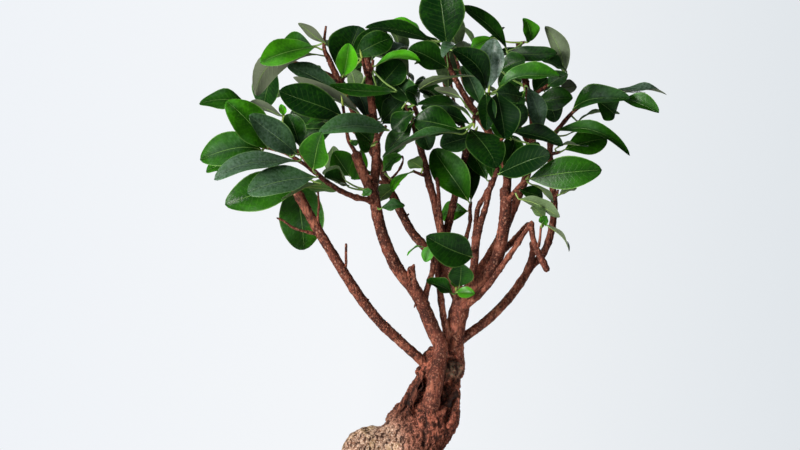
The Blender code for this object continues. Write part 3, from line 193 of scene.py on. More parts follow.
# shoot: (limb, radius at its foot and at its tip in mm, [(column, row, depth mm)...] of its twig, leaves)
# leaf: (base column, base row, tip column, tip row, mm of depth from base to tip, facing, width mm, arch)
SHOOTS = {
    "far_left": ("left_twig", 1.3, 1.0, [(306, 165, -54), (283, 152, -50), (262, 147, -44)], [
        (252, 112, 199, 104, -6, 55, 19, 0.20), (268, 149, 226, 101, -14, 22, 20, 0.10),
        (262, 150, 200, 160, -10, 28, 21, 0.14), (258, 157, 206, 172, 6, 40, 17, 0.10),
        (283, 117, 249, 104, 10, 112, 15, 0.06),
    ]),
    "left_end": ("left_twig", 1.3, 1.0, [(314, 171, -53), (306, 161, -60), (297, 150, -66)], [
        (299, 161, 214, 180, -16, 52, 19, 0.12), (298, 155, 249, 115, -14, 20, 18, 0.06),
        (291, 157, 270, 134, 14, 40, 12, 0.08),
    ]),
    "left_front": ("left_twig", 1.3, 1.0, [(327, 182, -51), (322, 179, -59), (316, 173, -64)], [
        (317, 177, 247, 193, -12, 32, 19, 0.10), (314, 171, 325, 133, -16, -14, 17, 0.05),
    ]),
    "left_low": ("left", 1.5, 1.1, [(294, 186, -26), (298, 179, -22), (304, 173, -20)], [
        (300, 181, 226, 199, -6, 14, 21, 0.07), (300, 188, 309, 250, 8, 2, 28, 0.05),
        (322, 184, 281, 200, -18, 104, 14, 0.05), (308, 186, 337, 190, 8, 135, 12, 0.05),
    ]),
    "front_low": ("front", 1.3, 1.0, [(373, 190, -30), (368, 191, -38), (364, 189, -42)], [
        (368, 189, 324, 177, -12, 60, 14, 0.06), (356, 186, 322, 173, 14, 150, 12, 0.05),
        (362, 195, 372, 191, -6, 30, 6, 0.05),
    ]),
    "front_small": ("front", 1.2, 0.9, [(376, 216, -32), (376, 210, -37), (378, 208, -40)], [
        (380, 209, 405, 206, -6, 45, 9, 0.12),
    ]),
    "upper_left": ("bow", 1.8, 0.7, [(330, 62, -1), (324, 47, -5), (326, 26, -8)], [
        (319, 44, 298, 24, -6, 128, 12, 0.06), (319, 53, 260, 66, -16, 52, 18, 0.06),
        (312, 41, 277, 43, 16, 50, 16, 0.16), (321, 57, 260, 92, -20, 125, 19, 0.24),
    ]),
    "upper_left_back": ("bow", 1.4, 1.0, [(338, 79, 2), (318, 70, 12), (288, 60, 20)], [
        (278, 66, 268, 109, 6, 12, 22, 0.08), (320, 76, 309, 63, 6, 60, 8, 0.04),
    ]),
    "leader_left": ("front", 1.4, 1.0, [(369, 82, -10), (365, 70, -17), (362, 58, -20)], [
        (360, 57, 341, 73, -18, 6, 17, 0.08), (354, 56, 392, 38, 10, 20, 17, 0.06),
        (356, 93, 350, 69, 8, 150, 13, 0.05),
    ]),
    "leader_right": ("front", 1.4, 1.0, [(369, 78, -10), (372, 69, -14), (373, 60, -16)], [
        (375, 66, 421, 62, -8, 62, 17, 0.26), (374, 54, 409, 49, 8, 122, 14, 0.14),
        (378, 90, 402, 61, 8, 15, 20, 0.05), (398, 93, 328, 86, -12, 64, 20, 0.02),
    ]),
    "leader_mid": ("front", 1.3, 0.9, [(372, 118, -14), (374, 120, -6), (375, 120, 0)], [
        (380, 118, 394, 84, 6, 8, 19, 0.05), (368, 119, 353, 82, 8, 10, 19, 0.05),
        (382, 124, 412, 108, 8, 40, 14, 0.06),
    ]),
    "leader_front": ("front", 1.3, 1.0, [(373, 116, -14), (369, 116, -21), (366, 117, -24)], [
        (362, 116, 293, 77, -12, 128, 15, 0.03),
    ]),
    "bow_low": ("bow", 1.3, 1.0, [(349, 101, 5), (347, 98, -2), (346, 96, -6)], [
        (343, 94, 287, 66, -4, 42, 16, 0.04),
    ]),
    "upper_mid": ("bow", 1.3, 0.9, [(341, 84, 3), (343, 80, 9), (344, 76, 12)], [
        (343, 72, 349, 26, 8, 6, 27, 0.05), (350, 72, 381, 29, 12, 4, 18, 0.05),
    ]),
    "mid_left": ("front_stump", 1.4, 1.0, [(356, 154, -26), (348, 138, -30), (343, 106, -34)], [
        (343, 117, 279, 91, -12, 24, 22, 0.05), (333, 124, 306, 125, -6, 66, 8, 0.12),
        (352, 140, 356, 146, -4, 20, 5, 0.05),
    ]),
    "centre_left": ("front", 1.4, 1.0, [(376, 152, -18), (379, 137, -29), (386, 126, -34)], [
        (372, 144, 352, 126, -20, 30, 24, 0.04), (389, 133, 319, 133, -12, 44, 20, 0.06),
        (362, 147, 354, 180, 6, 20, 11, 0.05),
    ]),
    "shade_left": ("bow", 1.4, 1.0, [(387, 184, 13), (366, 178, 22), (344, 173, 26)], [
        (350, 176, 333, 152, -8, 8, 17, 0.06), (330, 174, 333, 146, 8, 150, 13, 0.05),
        (372, 172, 351, 179, 4, 30, 9, 0.05),
    ]),
    "bow_side": ("bow", 1.2, 0.9, [(384, 175, 12), (383, 170, 4), (384, 165, 0)], [
        (383, 171, 402, 156, -4, 40, 12, 0.08), (399, 184, 377, 203, 4, 140, 12, 0.08),
    ]),
    "fan_low": ("fan_left", 1.2, 0.9, [(427, 176, -4), (420, 174, -8), (413, 171, -10)], [
        (411, 172, 392, 192, -6, 60, 10, 0.16), (423, 168, 409, 160, -6, 150, 10, 0.05),
    ]),
    "fan_top": ("fan_left", 1.4, 1.0, [(413, 120, -4), (409, 111, -12), (405, 105, -18)], [
        (400, 107, 478, 74, -18, 96, 20, 0.12), (413, 104, 394, 82, -6, 20, 18, 0.06),
        (419, 101, 405, 90, -14, 30, 14, 0.10),
    ]),
    "top": ("knee_top", 1.6, 1.0, [(446, 55, -5), (446, 47, -8), (443, 39, -10)], [
        (447, 43, 437, -18, -4, 0, 27, 0.05), (464, 49, 443, 58, -20, 70, 12, 0.16),
        (433, 42, 365, 28, -10, 60, 19, 0.06), (422, 37, 392, 20, 12, 40, 15, 0.08),
        (448, 68, 408, 49, -8, 25, 19, 0.06),
    ]),
    "crown": ("knee_top", 1.5, 1.0, [(487, 130, -7), (488, 112, -20), (489, 92, -28)], [
        (489, 88, 492, 38, -8, 172, 18, 0.05), (486, 90, 457, 52, -8, 30, 19, 0.08),
        (495, 88, 560, 78, -12, 48, 20, 0.12), (497, 93, 505, 139, -20, -4, 22, 0.06),
        (486, 93, 486, 131, -14, -20, 13, 0.04),
    ]),
    "crown_left": ("knee_top", 1.5, 1.0, [(476, 113, -6), (474, 118, -14), (474, 124, -20)], [
        (472, 119, 417, 105, -14, 58, 20, 0.16), (459, 129, 414, 121, 4, 22, 21, 0.06),
        (482, 107, 461, 66, 10, 30, 16, 0.06), (461, 98, 434, 89, 4, 125, 10, 0.05),
        (463, 134, 382, 158, -14, 64, 17, 0.16),
    ]),
    "shade_top": ("shade", 1.3, 0.9, [(519, 44, 14), (522, 43, 12), (525, 42, 10)], [
        (526, 38, 526, 18, -4, 30, 13, 0.03), (505, 55, 557, 52, -8, 56, 17, 0.03),
        (491, 39, 471, 48, 2, 60, 10, 0.10),
    ]),
    "shade_arch": ("shade", 1.2, 0.9, [(522, 64, 15), (515, 61, 8), (510, 58, 3)], [
        (507, 50, 464, 8, -4, 42, 19, 0.18),
    ]),
    "shade_right": ("shade", 1.5, 1.0, [(529, 98, 19), (547, 86, 12), (563, 77, 8)], [
        (566, 74, 547, 27, 6, 150, 17, 0.10), (567, 72, 542, 61, -8, 60, 12, 0.10),
        (548, 86, 568, 74, -4, 20, 12, 0.06), (560, 91, 577, 87, 10, 150, 11, 0.12),
        (538, 108, 573, 98, -6, 14, 20, 0.06),
    ]),
    "shade_front": ("shade", 1.5, 1.0, [(530, 102, 20), (526, 92, 10), (524, 84, 2)], [
        (527, 86, 541, 132, -16, 28, 18, 0.10), (522, 97, 496, 93, -10, 30, 16, 0.06),
        (500, 70, 526, 59, 6, 20, 15, 0.06),
    ]),
    "far_right": ("right", 1.5, 1.0, [(551, 138, 16), (574, 111, 9), (592, 101, 9), (608, 96, 8)], [
        (574, 111, 631, 99, -14, 48, 20, 0.20), (597, 100, 617, 118, 10, 20, 17, 0.06),
        (610, 91, 667, 95, -6, 70, 15, 0.12), (615, 94, 645, 93, 10, 78, 12, 0.05),
        (622, 100, 659, 113, -12, 34, 16, 0.08), (578, 121, 620, 114, 8, 100, 14, 0.12),
    ]),
    "right_low": ("right", 1.4, 1.0, [(550, 146, 18), (552, 139, 8), (554, 135, 2)], [
        (558, 130, 629, 156, -12, 46, 17, 0.26), (566, 135, 606, 132, 8, 96, 12, 0.10),
    ]),
    "right_inner": ("right", 1.3, 1.0, [(551, 154, 19), (556, 153, 15), (560, 152, 12)], [
        (564, 151, 608, 139, 8, 14, 20, 0.06), (555, 149, 588, 147, -14, 96, 9, 0.10),
    ]),
    "right_big": ("knee", 1.6, 1.2, [(506, 204, -17), (515, 191, -28), (526, 179, -36)], [
        (532, 178, 602, 172, -10, 3, 22, 0.05), (531, 184, 553, 203, 10, 110, 8, 0.08),
        (520, 190, 543, 197, 8, 16, 11, 0.05), (519, 199, 560, 217, -10, 130, 12, 0.06),
    ]),
    "right_small": ("right", 1.1, 0.8, [(554, 198, 25), (557, 195, 20), (558, 190, 18)], [
        (559, 195, 577, 188, -4, 130, 8, 0.05),
    ]),
    "hanging": ("drop", 1.0, 0.8, [(538, 250, -26), (540, 238, -29), (541, 226, -30)], [
        (545, 219, 532, 206, -4, 140, 9, 0.05), (542, 224, 547, 216, -8, 10, 7, 0.10),
        (545, 224, 569, 252, -6, 96, 9, 0.12),
    ]),
    "centre": ("knee_top", 1.3, 1.0, [(507, 177, -14), (505, 176, -20), (503, 174, -24)], [
        (503, 171, 548, 157, -6, 2, 25, 0.05),
    ]),
    "dark_end": ("dark", 1.3, 1.0, [(489, 188, 6), (490, 184, 10), (490, 181, 13)], [
        (487, 180, 469, 148, 8, 20, 16, 0.06), (492, 179, 494, 148, 10, 16, 15, 0.05),
    ]),
    "fan_leaf": ("fan_twig", 1.2, 0.9, [(470, 208, 8), (471, 202, 6)], [
        (469, 202, 433, 149, 4, 14, 22, 0.05), (471, 201, 468, 152, 14, 16, 16, 0.05),
        (463, 209, 440, 216, 10, 150, 16, 0.05),
    ]),
    "fan_right_top": ("fan_right", 1.4, 1.0, [(467, 148, 11), (472, 138, 0), (476, 130, -6)], [
        (470, 129, 497, 168, -18, 12, 24, 0.06), (475, 136, 440, 146, -10, 16, 18, 0.05),
    ]),
    "screen": ("pale", 1.3, 0.9, [(476, 250, -12), (473, 252, -18), (471, 251, -22)], [
        (470, 251, 427, 234, -16, 4, 23, 0.03),
    ]),
    "sprout": ("main", 1.2, 0.9, [(459, 302, 0), (456, 296, -10), (456, 290, -14)], [
        (459, 287, 461, 263, -6, 6, 16, 0.05), (456, 288, 453, 277, -5, 20, 6, 0.10),
        (453, 294, 426, 281, -6, 60, 9, 0.08), (457, 295, 474, 292, -6, 14, 8, 0.05),
    ]),
    "fork_tip": ("front_fork", 1.2, 0.8, [(433, 263, -12), (432, 257, -14)], [
        (431, 259, 424, 251, -4, 150, 8, 0.05), (425, 248, 407, 256, -8, 60, 5, 0.20),
    ]),
    "low_crown": ("knee_top", 1.4, 1.0, [(497, 145, -9), (502, 139, -18), (506, 134, -24)], [
        (510, 132, 563, 146, -10, 50, 17, 0.05), (528, 143, 549, 158, 6, 60, 10, 0.05),
    ]),
}

# How far a blade's halves fold up, and how a leaf may turn (degrees), shift and lift its tip (mm) to clear
# its neighbours, the smallest moves first.
FOLD = math.radians(14)
NUDGES = sorted(
    (abs(turn) / 6 + abs(shift) / 2.5 + abs(lift) / 4, turn, shift, lift)
    for turn in (0, 8, -8, 16, -16, 26, -26)
    for shift in (0, 3, -3, 6, -6)
    for lift in (0, 4, -4, 8, -8, 12, -12, 17, -17)
)

# Limbs behind the picture that carry drawn shoots, such a twig's radius at its foot and tip in mm, the
# leaves of a side and an end twig, and how many twigs are drawn before one is left out.
BACK_LIMBS = ("back_left", "back_middle", "back_fan", "back_right", "back_high", "back_top")
BACK_TWIG = (1.4, 0.9)
BACK_LEAVES = {"side": 4, "end": 5}
TWIG_DRAWS = 120
# Seeds of the drawn twigs, of the leaves' own forms and of how the bark's folds are bent.
TWIG_SEED, LEAF_SEED, BARK_SEED = 11, 5, 19
# Roots that end below the soil; heights in mm of the soil's top and floor and of the solids' root pegs.
ROOT_ENDS = ("bulge", "front_root", "back_root", "side_root")
SOIL_TOP, SOIL_FLOOR, PEG_FOOT = 97.5, 8.4, 84.0


Leaf = namedtuple("Leaf", "root base tip facing width arch")


def along(points, at):
    """The point at this share of a polyline's length."""
    lengths = [(b - a).length for a, b in zip(points, points[1:])]
    rest = at * sum(lengths)
    for a, b, length in zip(points, points[1:], lengths):
        if rest <= length:
            return a.lerp(b, rest / length)
        rest -= length
    return points[-1].copy()


def rooted(points, target, order):
    """The point of a twig nearest to the target, a little further in for each leaf that comes before it."""
    lengths = [(b - a).length for a, b in zip(points, points[1:])]
    found = []
    for k, (a, b) in enumerate(zip(points, points[1:])):
        share = max(0.0, min(1.0, (target - a).dot(b - a) / (b - a).length_squared))
        found.append(((a.lerp(b, share) - target).length, sum(lengths[:k]) + share * lengths[k]))
    place = min(min(found)[1], sum(lengths) - (0.4 + 0.45 * order) * MM)
    return along(points, max(place, (1.3 + 0.3 * order) * MM) / sum(lengths))


def normal_of(leaf):
    """The way the upper face turns: 0 at the viewer, 90 at the sky, 180 away from the viewer."""
    axis = (leaf.tip - leaf.base).normalized()
    sight = EYE - (leaf.base + leaf.tip) / 2
    toward = (sight - axis * sight.dot(axis)).normalized()
    up = axis.cross(toward)
    if up.z + 0.25 * up.x < 0:
        up = -up
    turn = math.radians(leaf.facing)
    return (toward * math.cos(turn) + up * math.sin(turn)).normalized()


def profile(u):
    return math.sin(math.pi * u**1.12) ** 0.72


def blade_point(leaf, u, v):
    """A point of the blade: u runs from its base to its tip, v from one edge to the other."""
    normal = normal_of(leaf)
    run = leaf.tip - leaf.base
    across = run.normalized().cross(normal)
    half = leaf.width / 2 * profile(min(max(u, 0.0), 1.0))
    rise = run.length * leaf.arch * 4 * u * (1 - u) + half * abs(v) * math.sin(FOLD)
    return leaf.base + run * u + across * half * v * math.cos(FOLD) + normal * rise


def leaf_rows(leaf, whole):
    """Rows of points from the petiole's root, or from the blade's base, to the tip."""
    normal = normal_of(leaf)
    axis = (leaf.tip - leaf.base).normalized()
    stalk = (leaf.base - leaf.root).normalized()
    rows = []
    if whole:
        across = (stalk + axis * 0.6).cross(normal).normalized() * 0.55 * MM
        rows.append([leaf.root - across, leaf.root + across])
    if not whole or (leaf.base - leaf.root).length > 8 * MM:
        across = (axis + stalk if whole else axis).cross(normal).normalized() * 0.8 * MM
        rows.append([leaf.base - across, leaf.base + across])
    for u in (0.2, 0.5, 0.81) if (leaf.tip - leaf.base).length > 24 * MM else (0.3, 0.72):
        rows.append([blade_point(leaf, u, v) for v in (-1.06, 0, 1.06)])
    return rows + [[leaf.tip]]


def leaf_solid(leaf, thickness, whole=True):
    """(points, faces) of a leaf as one thin closed solid, both sides cut up alike."""
    rows = leaf_rows(leaf, whole)
    points, faces, start = [], [], []
    for row in rows:
        start.append(len(points))
        points += row
    for row, after, a, b in zip(rows, rows[1:], start, start[1:]):
        if len(row) == 3 and len(after) == 3:
            faces += [[a, a + 1, b + 1], [a, b + 1, b], [a + 1, a + 2, b + 1], [a + 2, b + 2, b + 1]]
        elif len(after) == 3:
            faces += [[a, b + 1, b], [a, a + 1, b + 1], [a + 1, b + 2, b + 1]]
        elif len(after) == 2:
            faces += [[a, a + 1, b + 1], [a, b + 1, b]]
        else:
            faces += [[a, a + 1, b], [a + 1, a + 2, b]]
    normals = [Vector() for _ in points]
    for face in faces:
        p, q, r = (points[i] for i in face)
        turn = (q - p).cross(r - p).normalized()
        for i in face:
            normals[i] += turn
    share = [0.85 if len(row) == 2 else 0.5 for row in rows for _ in row]
    half = [n.normalized() * thickness * s for n, s in zip(normals, share)]
    count = len(points)
    solid = faces + [[i + count for i in reversed(face)] for face in faces]
    edges = {(i, j) for face in faces for i, j in zip(face, face[1:] + face[:1])}
    for i, j in sorted(edges):
        if (j, i) not in edges:
            solid += [[j, i, i + count], [j, i + count, j + count]]
    return [p + h for p, h in zip(points, half)] + [p - h for p, h in zip(points, half)], solid


def tube(points, radii, sides, pointed=False, turn=0.0):
    """(points, faces) of a closed tube whose rings don't twist."""
    count = len(points)
    heading = [(points[min(i + 1, count - 1)] - points[max(i - 1, 0)]).normalized() for i in range(count)]
    side = Vector((1, 0, 0)) if abs(heading[0].x) < 0.8 else Vector((0, 1, 0))
    out, faces = [], []
    for point, ahead, radius in zip(points, heading, radii):
        side = (side - ahead * side.dot(ahead)).normalized()
        other = ahead.cross(side)
        for k in range(sides):
            angle = 2 * math.pi * k / sides + turn
            out.append(point + (side * math.cos(angle) + other * math.sin(angle)) * radius)
    for row in range(count - 1):
        for k in range(sides):
            a, b = row * sides + k, row * sides + (k + 1) % sides
            faces += [[a, b, b + sides], [a, b + sides, a + sides]]
    first, last = len(out), len(out) + 1
    out += [points[0], points[-1] + heading[-1] * radii[-1] * (2.2 if pointed else 0.25)]
    foot = (count - 1) * sides
    for k in range(sides):
        after = (k + 1) % sides
        faces += [[first, after, k], [last, foot + k, foot + after]]
    return out, faces


def limb_rings(name):
    """(point, radius) of each ring of a limb, from its foot to its tip."""
    foot, tip, points = LIMBS[name]
    return [(seen(*p), (foot + (tip - foot) * k / (len(points) - 1)) * MM) for k, p in enumerate(points)]


WOOD = [tuple(zip(*limb_rings(name))) for name in LIMBS]


def wood_gap(point):
    """How far this point is from the surface of the nearest limb."""
    best = 1.0
    for path, radii in WOOD:
        for a, b, r, s in zip(path, path[1:], radii, radii[1:]):
            run = b - a
            share = max(0.0, min(1.0, (point - a).dot(run) / run.length_squared))
            best = min(best, (point - a.lerp(b, share)).length - (r + (s - r) * share))
    return best


# The gap between a twig and its limb, and the steps in which the twig's start is sought, in mm.
TWIG_GAP, START_STEP = 0.35, 0.2


def clear_start(path, radius):
    """The path without the stretch that lies inside its limb, so that a hair's gap is left."""
    path = [p.copy() for p in path]
    while len(path) > 1:
        ahead = path[1] - path[0]
        steps = max(1, int(ahead.length / (START_STEP * MM)))
        side = ahead.orthogonal().normalized()
        other = ahead.normalized().cross(side)
        for k in range(steps):
            at = path[0] + ahead * (k / steps)
            ring = [at + (side * math.cos(t) + other * math.sin(t)) * radius for t in (0, 1, 2, 3, 4, 5)]
            if min(map(wood_gap, ring + [at])) > TWIG_GAP * MM:
                return [at] + path[1:]
        path = path[1:]
    raise ValueError("a shoot starts inside the wood")


def shoot_path(name):
    _, foot, _, points, _ = SHOOTS[name]
    return clear_start([seen(*p) for p in points], foot * MM)


def shoot_radii(name, count):
    foot, tip = SHOOTS[name][1:3]
    return [(foot + (tip - foot) * k / (count - 1)) * MM for k in range(count)]


def first_leaf(path, entry, order):
    """A leaf as the table gives it, rooted on the nearest point of its twig."""
    column, row, tip_column, tip_row, reach, facing, width, arch = entry
    depth = rooted(path, seen(column, row, path[-1].y / MM), order).y / MM
    root = rooted(path, seen(column, row, depth), order)
    stalk = (seen(column, row, depth) - root).length
    blade = (seen(tip_column, tip_row, depth) - seen(column, row, depth)).length
    base_depth = root.y / MM + reach * stalk / (stalk + blade)
    base, end = seen(column, row, base_depth), seen(tip_column, tip_row, base_depth + reach)
    return Leaf(root, base, end, facing, width * MM, arch)


def pushed(point, by):
    """The point moved along its own sight line, so that the picture stays as it is."""
    return point + (point - EYE).normalized() * by


def box_of(points):
    return [min(p[k] for p in points) for k in range(3)] + [max(p[k] for p in points) for k in range(3)]


def boxes_meet(a, b):
    return all(a[k] <= b[k + 3] and b[k] <= a[k + 3] for k in range(3))


# How much room leaves, wood and twigs keep round them while the leaves are placed, in mm.
LEAF_ROOM, WOOD_ROOM, TWIG_ROOM = 1.2, 0.5, 0.4


def obstacle(kind, shoot, points, faces):
    return kind, shoot, box_of(points), BVHTree.FromPolygons(points, faces)


def twig_obstacle(name, path, radii):
    return obstacle("twig", name, *tube(path, [r + TWIG_ROOM * MM for r in radii], 6, True))


def wood_obstacles():
    return [obstacle("wood", "", *tube(path, [r + WOOD_ROOM * MM for r in radii], 7)) for path, radii in WOOD]


def leaf_obstacles(name, leaf):
    """The whole leaf, for other shoots' leaves, and its blade alone, for those of its own shoot."""
    whole, blade = leaf_solid(leaf, LEAF_ROOM * MM), leaf_solid(leaf, LEAF_ROOM * MM, False)
    return [obstacle("leaf", name, *whole), obstacle("blade", name, *blade)]


def meets(solid, obstacles):
    """How many obstacles a solid touches."""
    box = box_of(solid[0])
    near = [tree for *_, other, tree in obstacles if boxes_meet(box, other)]
    if not near:
        return 0
    tree = BVHTree.FromPolygons(*solid)
    return sum(bool(tree.overlap(other)) for other in near)


def settled(name, leaf, obstacles):
    """(obstacles still met, leaf) for the leaf moved as little as it takes to clear all placed before it."""
    others = [o for o in obstacles if (o[0] != "blade") == (o[1] != name)]
    twig = [o for o in obstacles if o[:2] == ("twig", name)]
    best = None
    for _, turn, shift, lift in NUDGES:
        base, tip = pushed(leaf.base, shift * MM), pushed(leaf.tip, (shift + lift) * MM)
        tried = leaf._replace(base=base, tip=tip, facing=leaf.facing + turn)
        whole, blade = leaf_solid(tried, LEAF_ROOM * MM), leaf_solid(tried, LEAF_ROOM * MM, False)
        count = meets(whole, others) + meets(blade, twig)
        if best is None or count < best[0]:
            best = (count, tried)
        if count == 0:
            break
    return best


def left_out(*words):
    print("left out, as it finds no free place:", *words)


def back_leaf(root, ahead, outward, length, width, turn):
    """A leaf of a shoot that the picture doesn't show, its face turned up and away."""
    base = root + ahead * 5 * MM
    tip = base + ahead * length * MM
    flat = Leaf(root, base, tip, 0.0, width * MM, 0.08)
    want = outward * 0.5 + Vector((0, 0, 0.85))
    level, upright = normal_of(flat._replace(facing=90.0)), normal_of(flat)
    facing = math.degrees(math.atan2(level.dot(want), upright.dot(want)))
    return flat._replace(facing=facing + turn)


def back_twig(limb, place, draw):
    """The path of a twig on a limb behind the picture."""
    path = [p for p, _ in limb_rings(limb)]
    heading = (path[-1] - path[-2]).normalized()
    swing = Vector((draw.uniform(-1, 1), draw.uniform(0.1, 0.8), draw.uniform(0.2, 0.9))).normalized()
    ahead = (heading * (4 if place == "end" else 0.3) + swing).normalized()
    foot = along(path, 1.0 if place == "end" else draw.uniform(0.5, 0.7))
    rise = Vector((0, 0, 0.4))
    reaches = [ahead * 11, (ahead + rise) * 20, (ahead + rise * 1.4) * 27]
    return clear_start([foot] + [foot + reach * MM for reach in reaches], BACK_TWIG[0] * MM)


def free_twig(limb, place, obstacles, draw):
    """The first twig drawn that clears the wood and every other twig, or None."""
    twigs = [o for o in obstacles if o[0] == "twig"]
    for _ in range(TWIG_DRAWS):
        path = back_twig(limb, place, draw)
        wide = tube(path[1:], [2.5 * MM] * (len(path) - 1), 5, True)
        if not meets(wide, obstacles) and not meets(tube(path, [2.0 * MM] * len(path), 5, True), twigs):
            return path
    return None


def back_leaves(twig, count, draw):
    """Leaves set round a twig that the picture doesn't show, each a fixed turn after the last."""
    tangent = (twig[-1] - twig[0]).normalized()
    side = tangent.orthogonal().normalized()
    spin = draw.uniform(0, 6.28)
    leaves = []
    for k in range(count):
        root = along(twig, 0.4 + 0.56 * k / (count - 1))
        radial = side * math.cos(spin + 2.4 * k) + tangent.cross(side) * math.sin(spin + 2.4 * k)
        lean = math.radians(draw.uniform(46, 66))
        way = (tangent * math.cos(lean) + radial * math.sin(lean) + Vector((0, 0.15, 0.1))).normalized()
        out = Vector((way.x, way.y, 0))
        length, width, turn = draw.uniform(27, 35), draw.uniform(15, 19), draw.uniform(-14, 14)
        leaves.append(back_leaf(root, way, out, length, width, turn))
    return leaves


def laid_out():
    """name: (path, radii, leaves) of every shoot, with the leaves clear of the wood and of each other."""
    shoots = {}
    obstacles = wood_obstacles()
    for name, entry in SHOOTS.items():
        path = shoot_path(name)
        radii = shoot_radii(name, len(path))
        shoots[name] = (path, radii, [first_leaf(path, leaf, k) for k, leaf in enumerate(entry[-1])])
        obstacles.append(twig_obstacle(name, path, radii))
    draw = random.Random(TWIG_SEED)
    foot, tip = BACK_TWIG
    for limb in BACK_LIMBS:
        for place, count in BACK_LEAVES.items():
            name = limb + "_" + place
            path = free_twig(limb, place, obstacles, draw)
            if path is None:
                left_out(name)
                continue
            radii = [(foot - (foot - tip) * k / (len(path) - 1)) * MM for k in range(len(path))]
            shoots[name] = (path, radii, back_leaves(path, count, draw))
            obstacles.append(twig_obstacle(name, path, radii))
    for name, (path, radii, leaves) in shoots.items():
        tried, leaves[:] = list(leaves), []
        for k, leaf in enumerate(tried):
            count, leaf = settled(name, leaf, obstacles)
            if count:
                left_out(name, k)
                continue
            leaves.append(leaf)
            obstacles += leaf_obstacles(name, leaf)
    return shoots


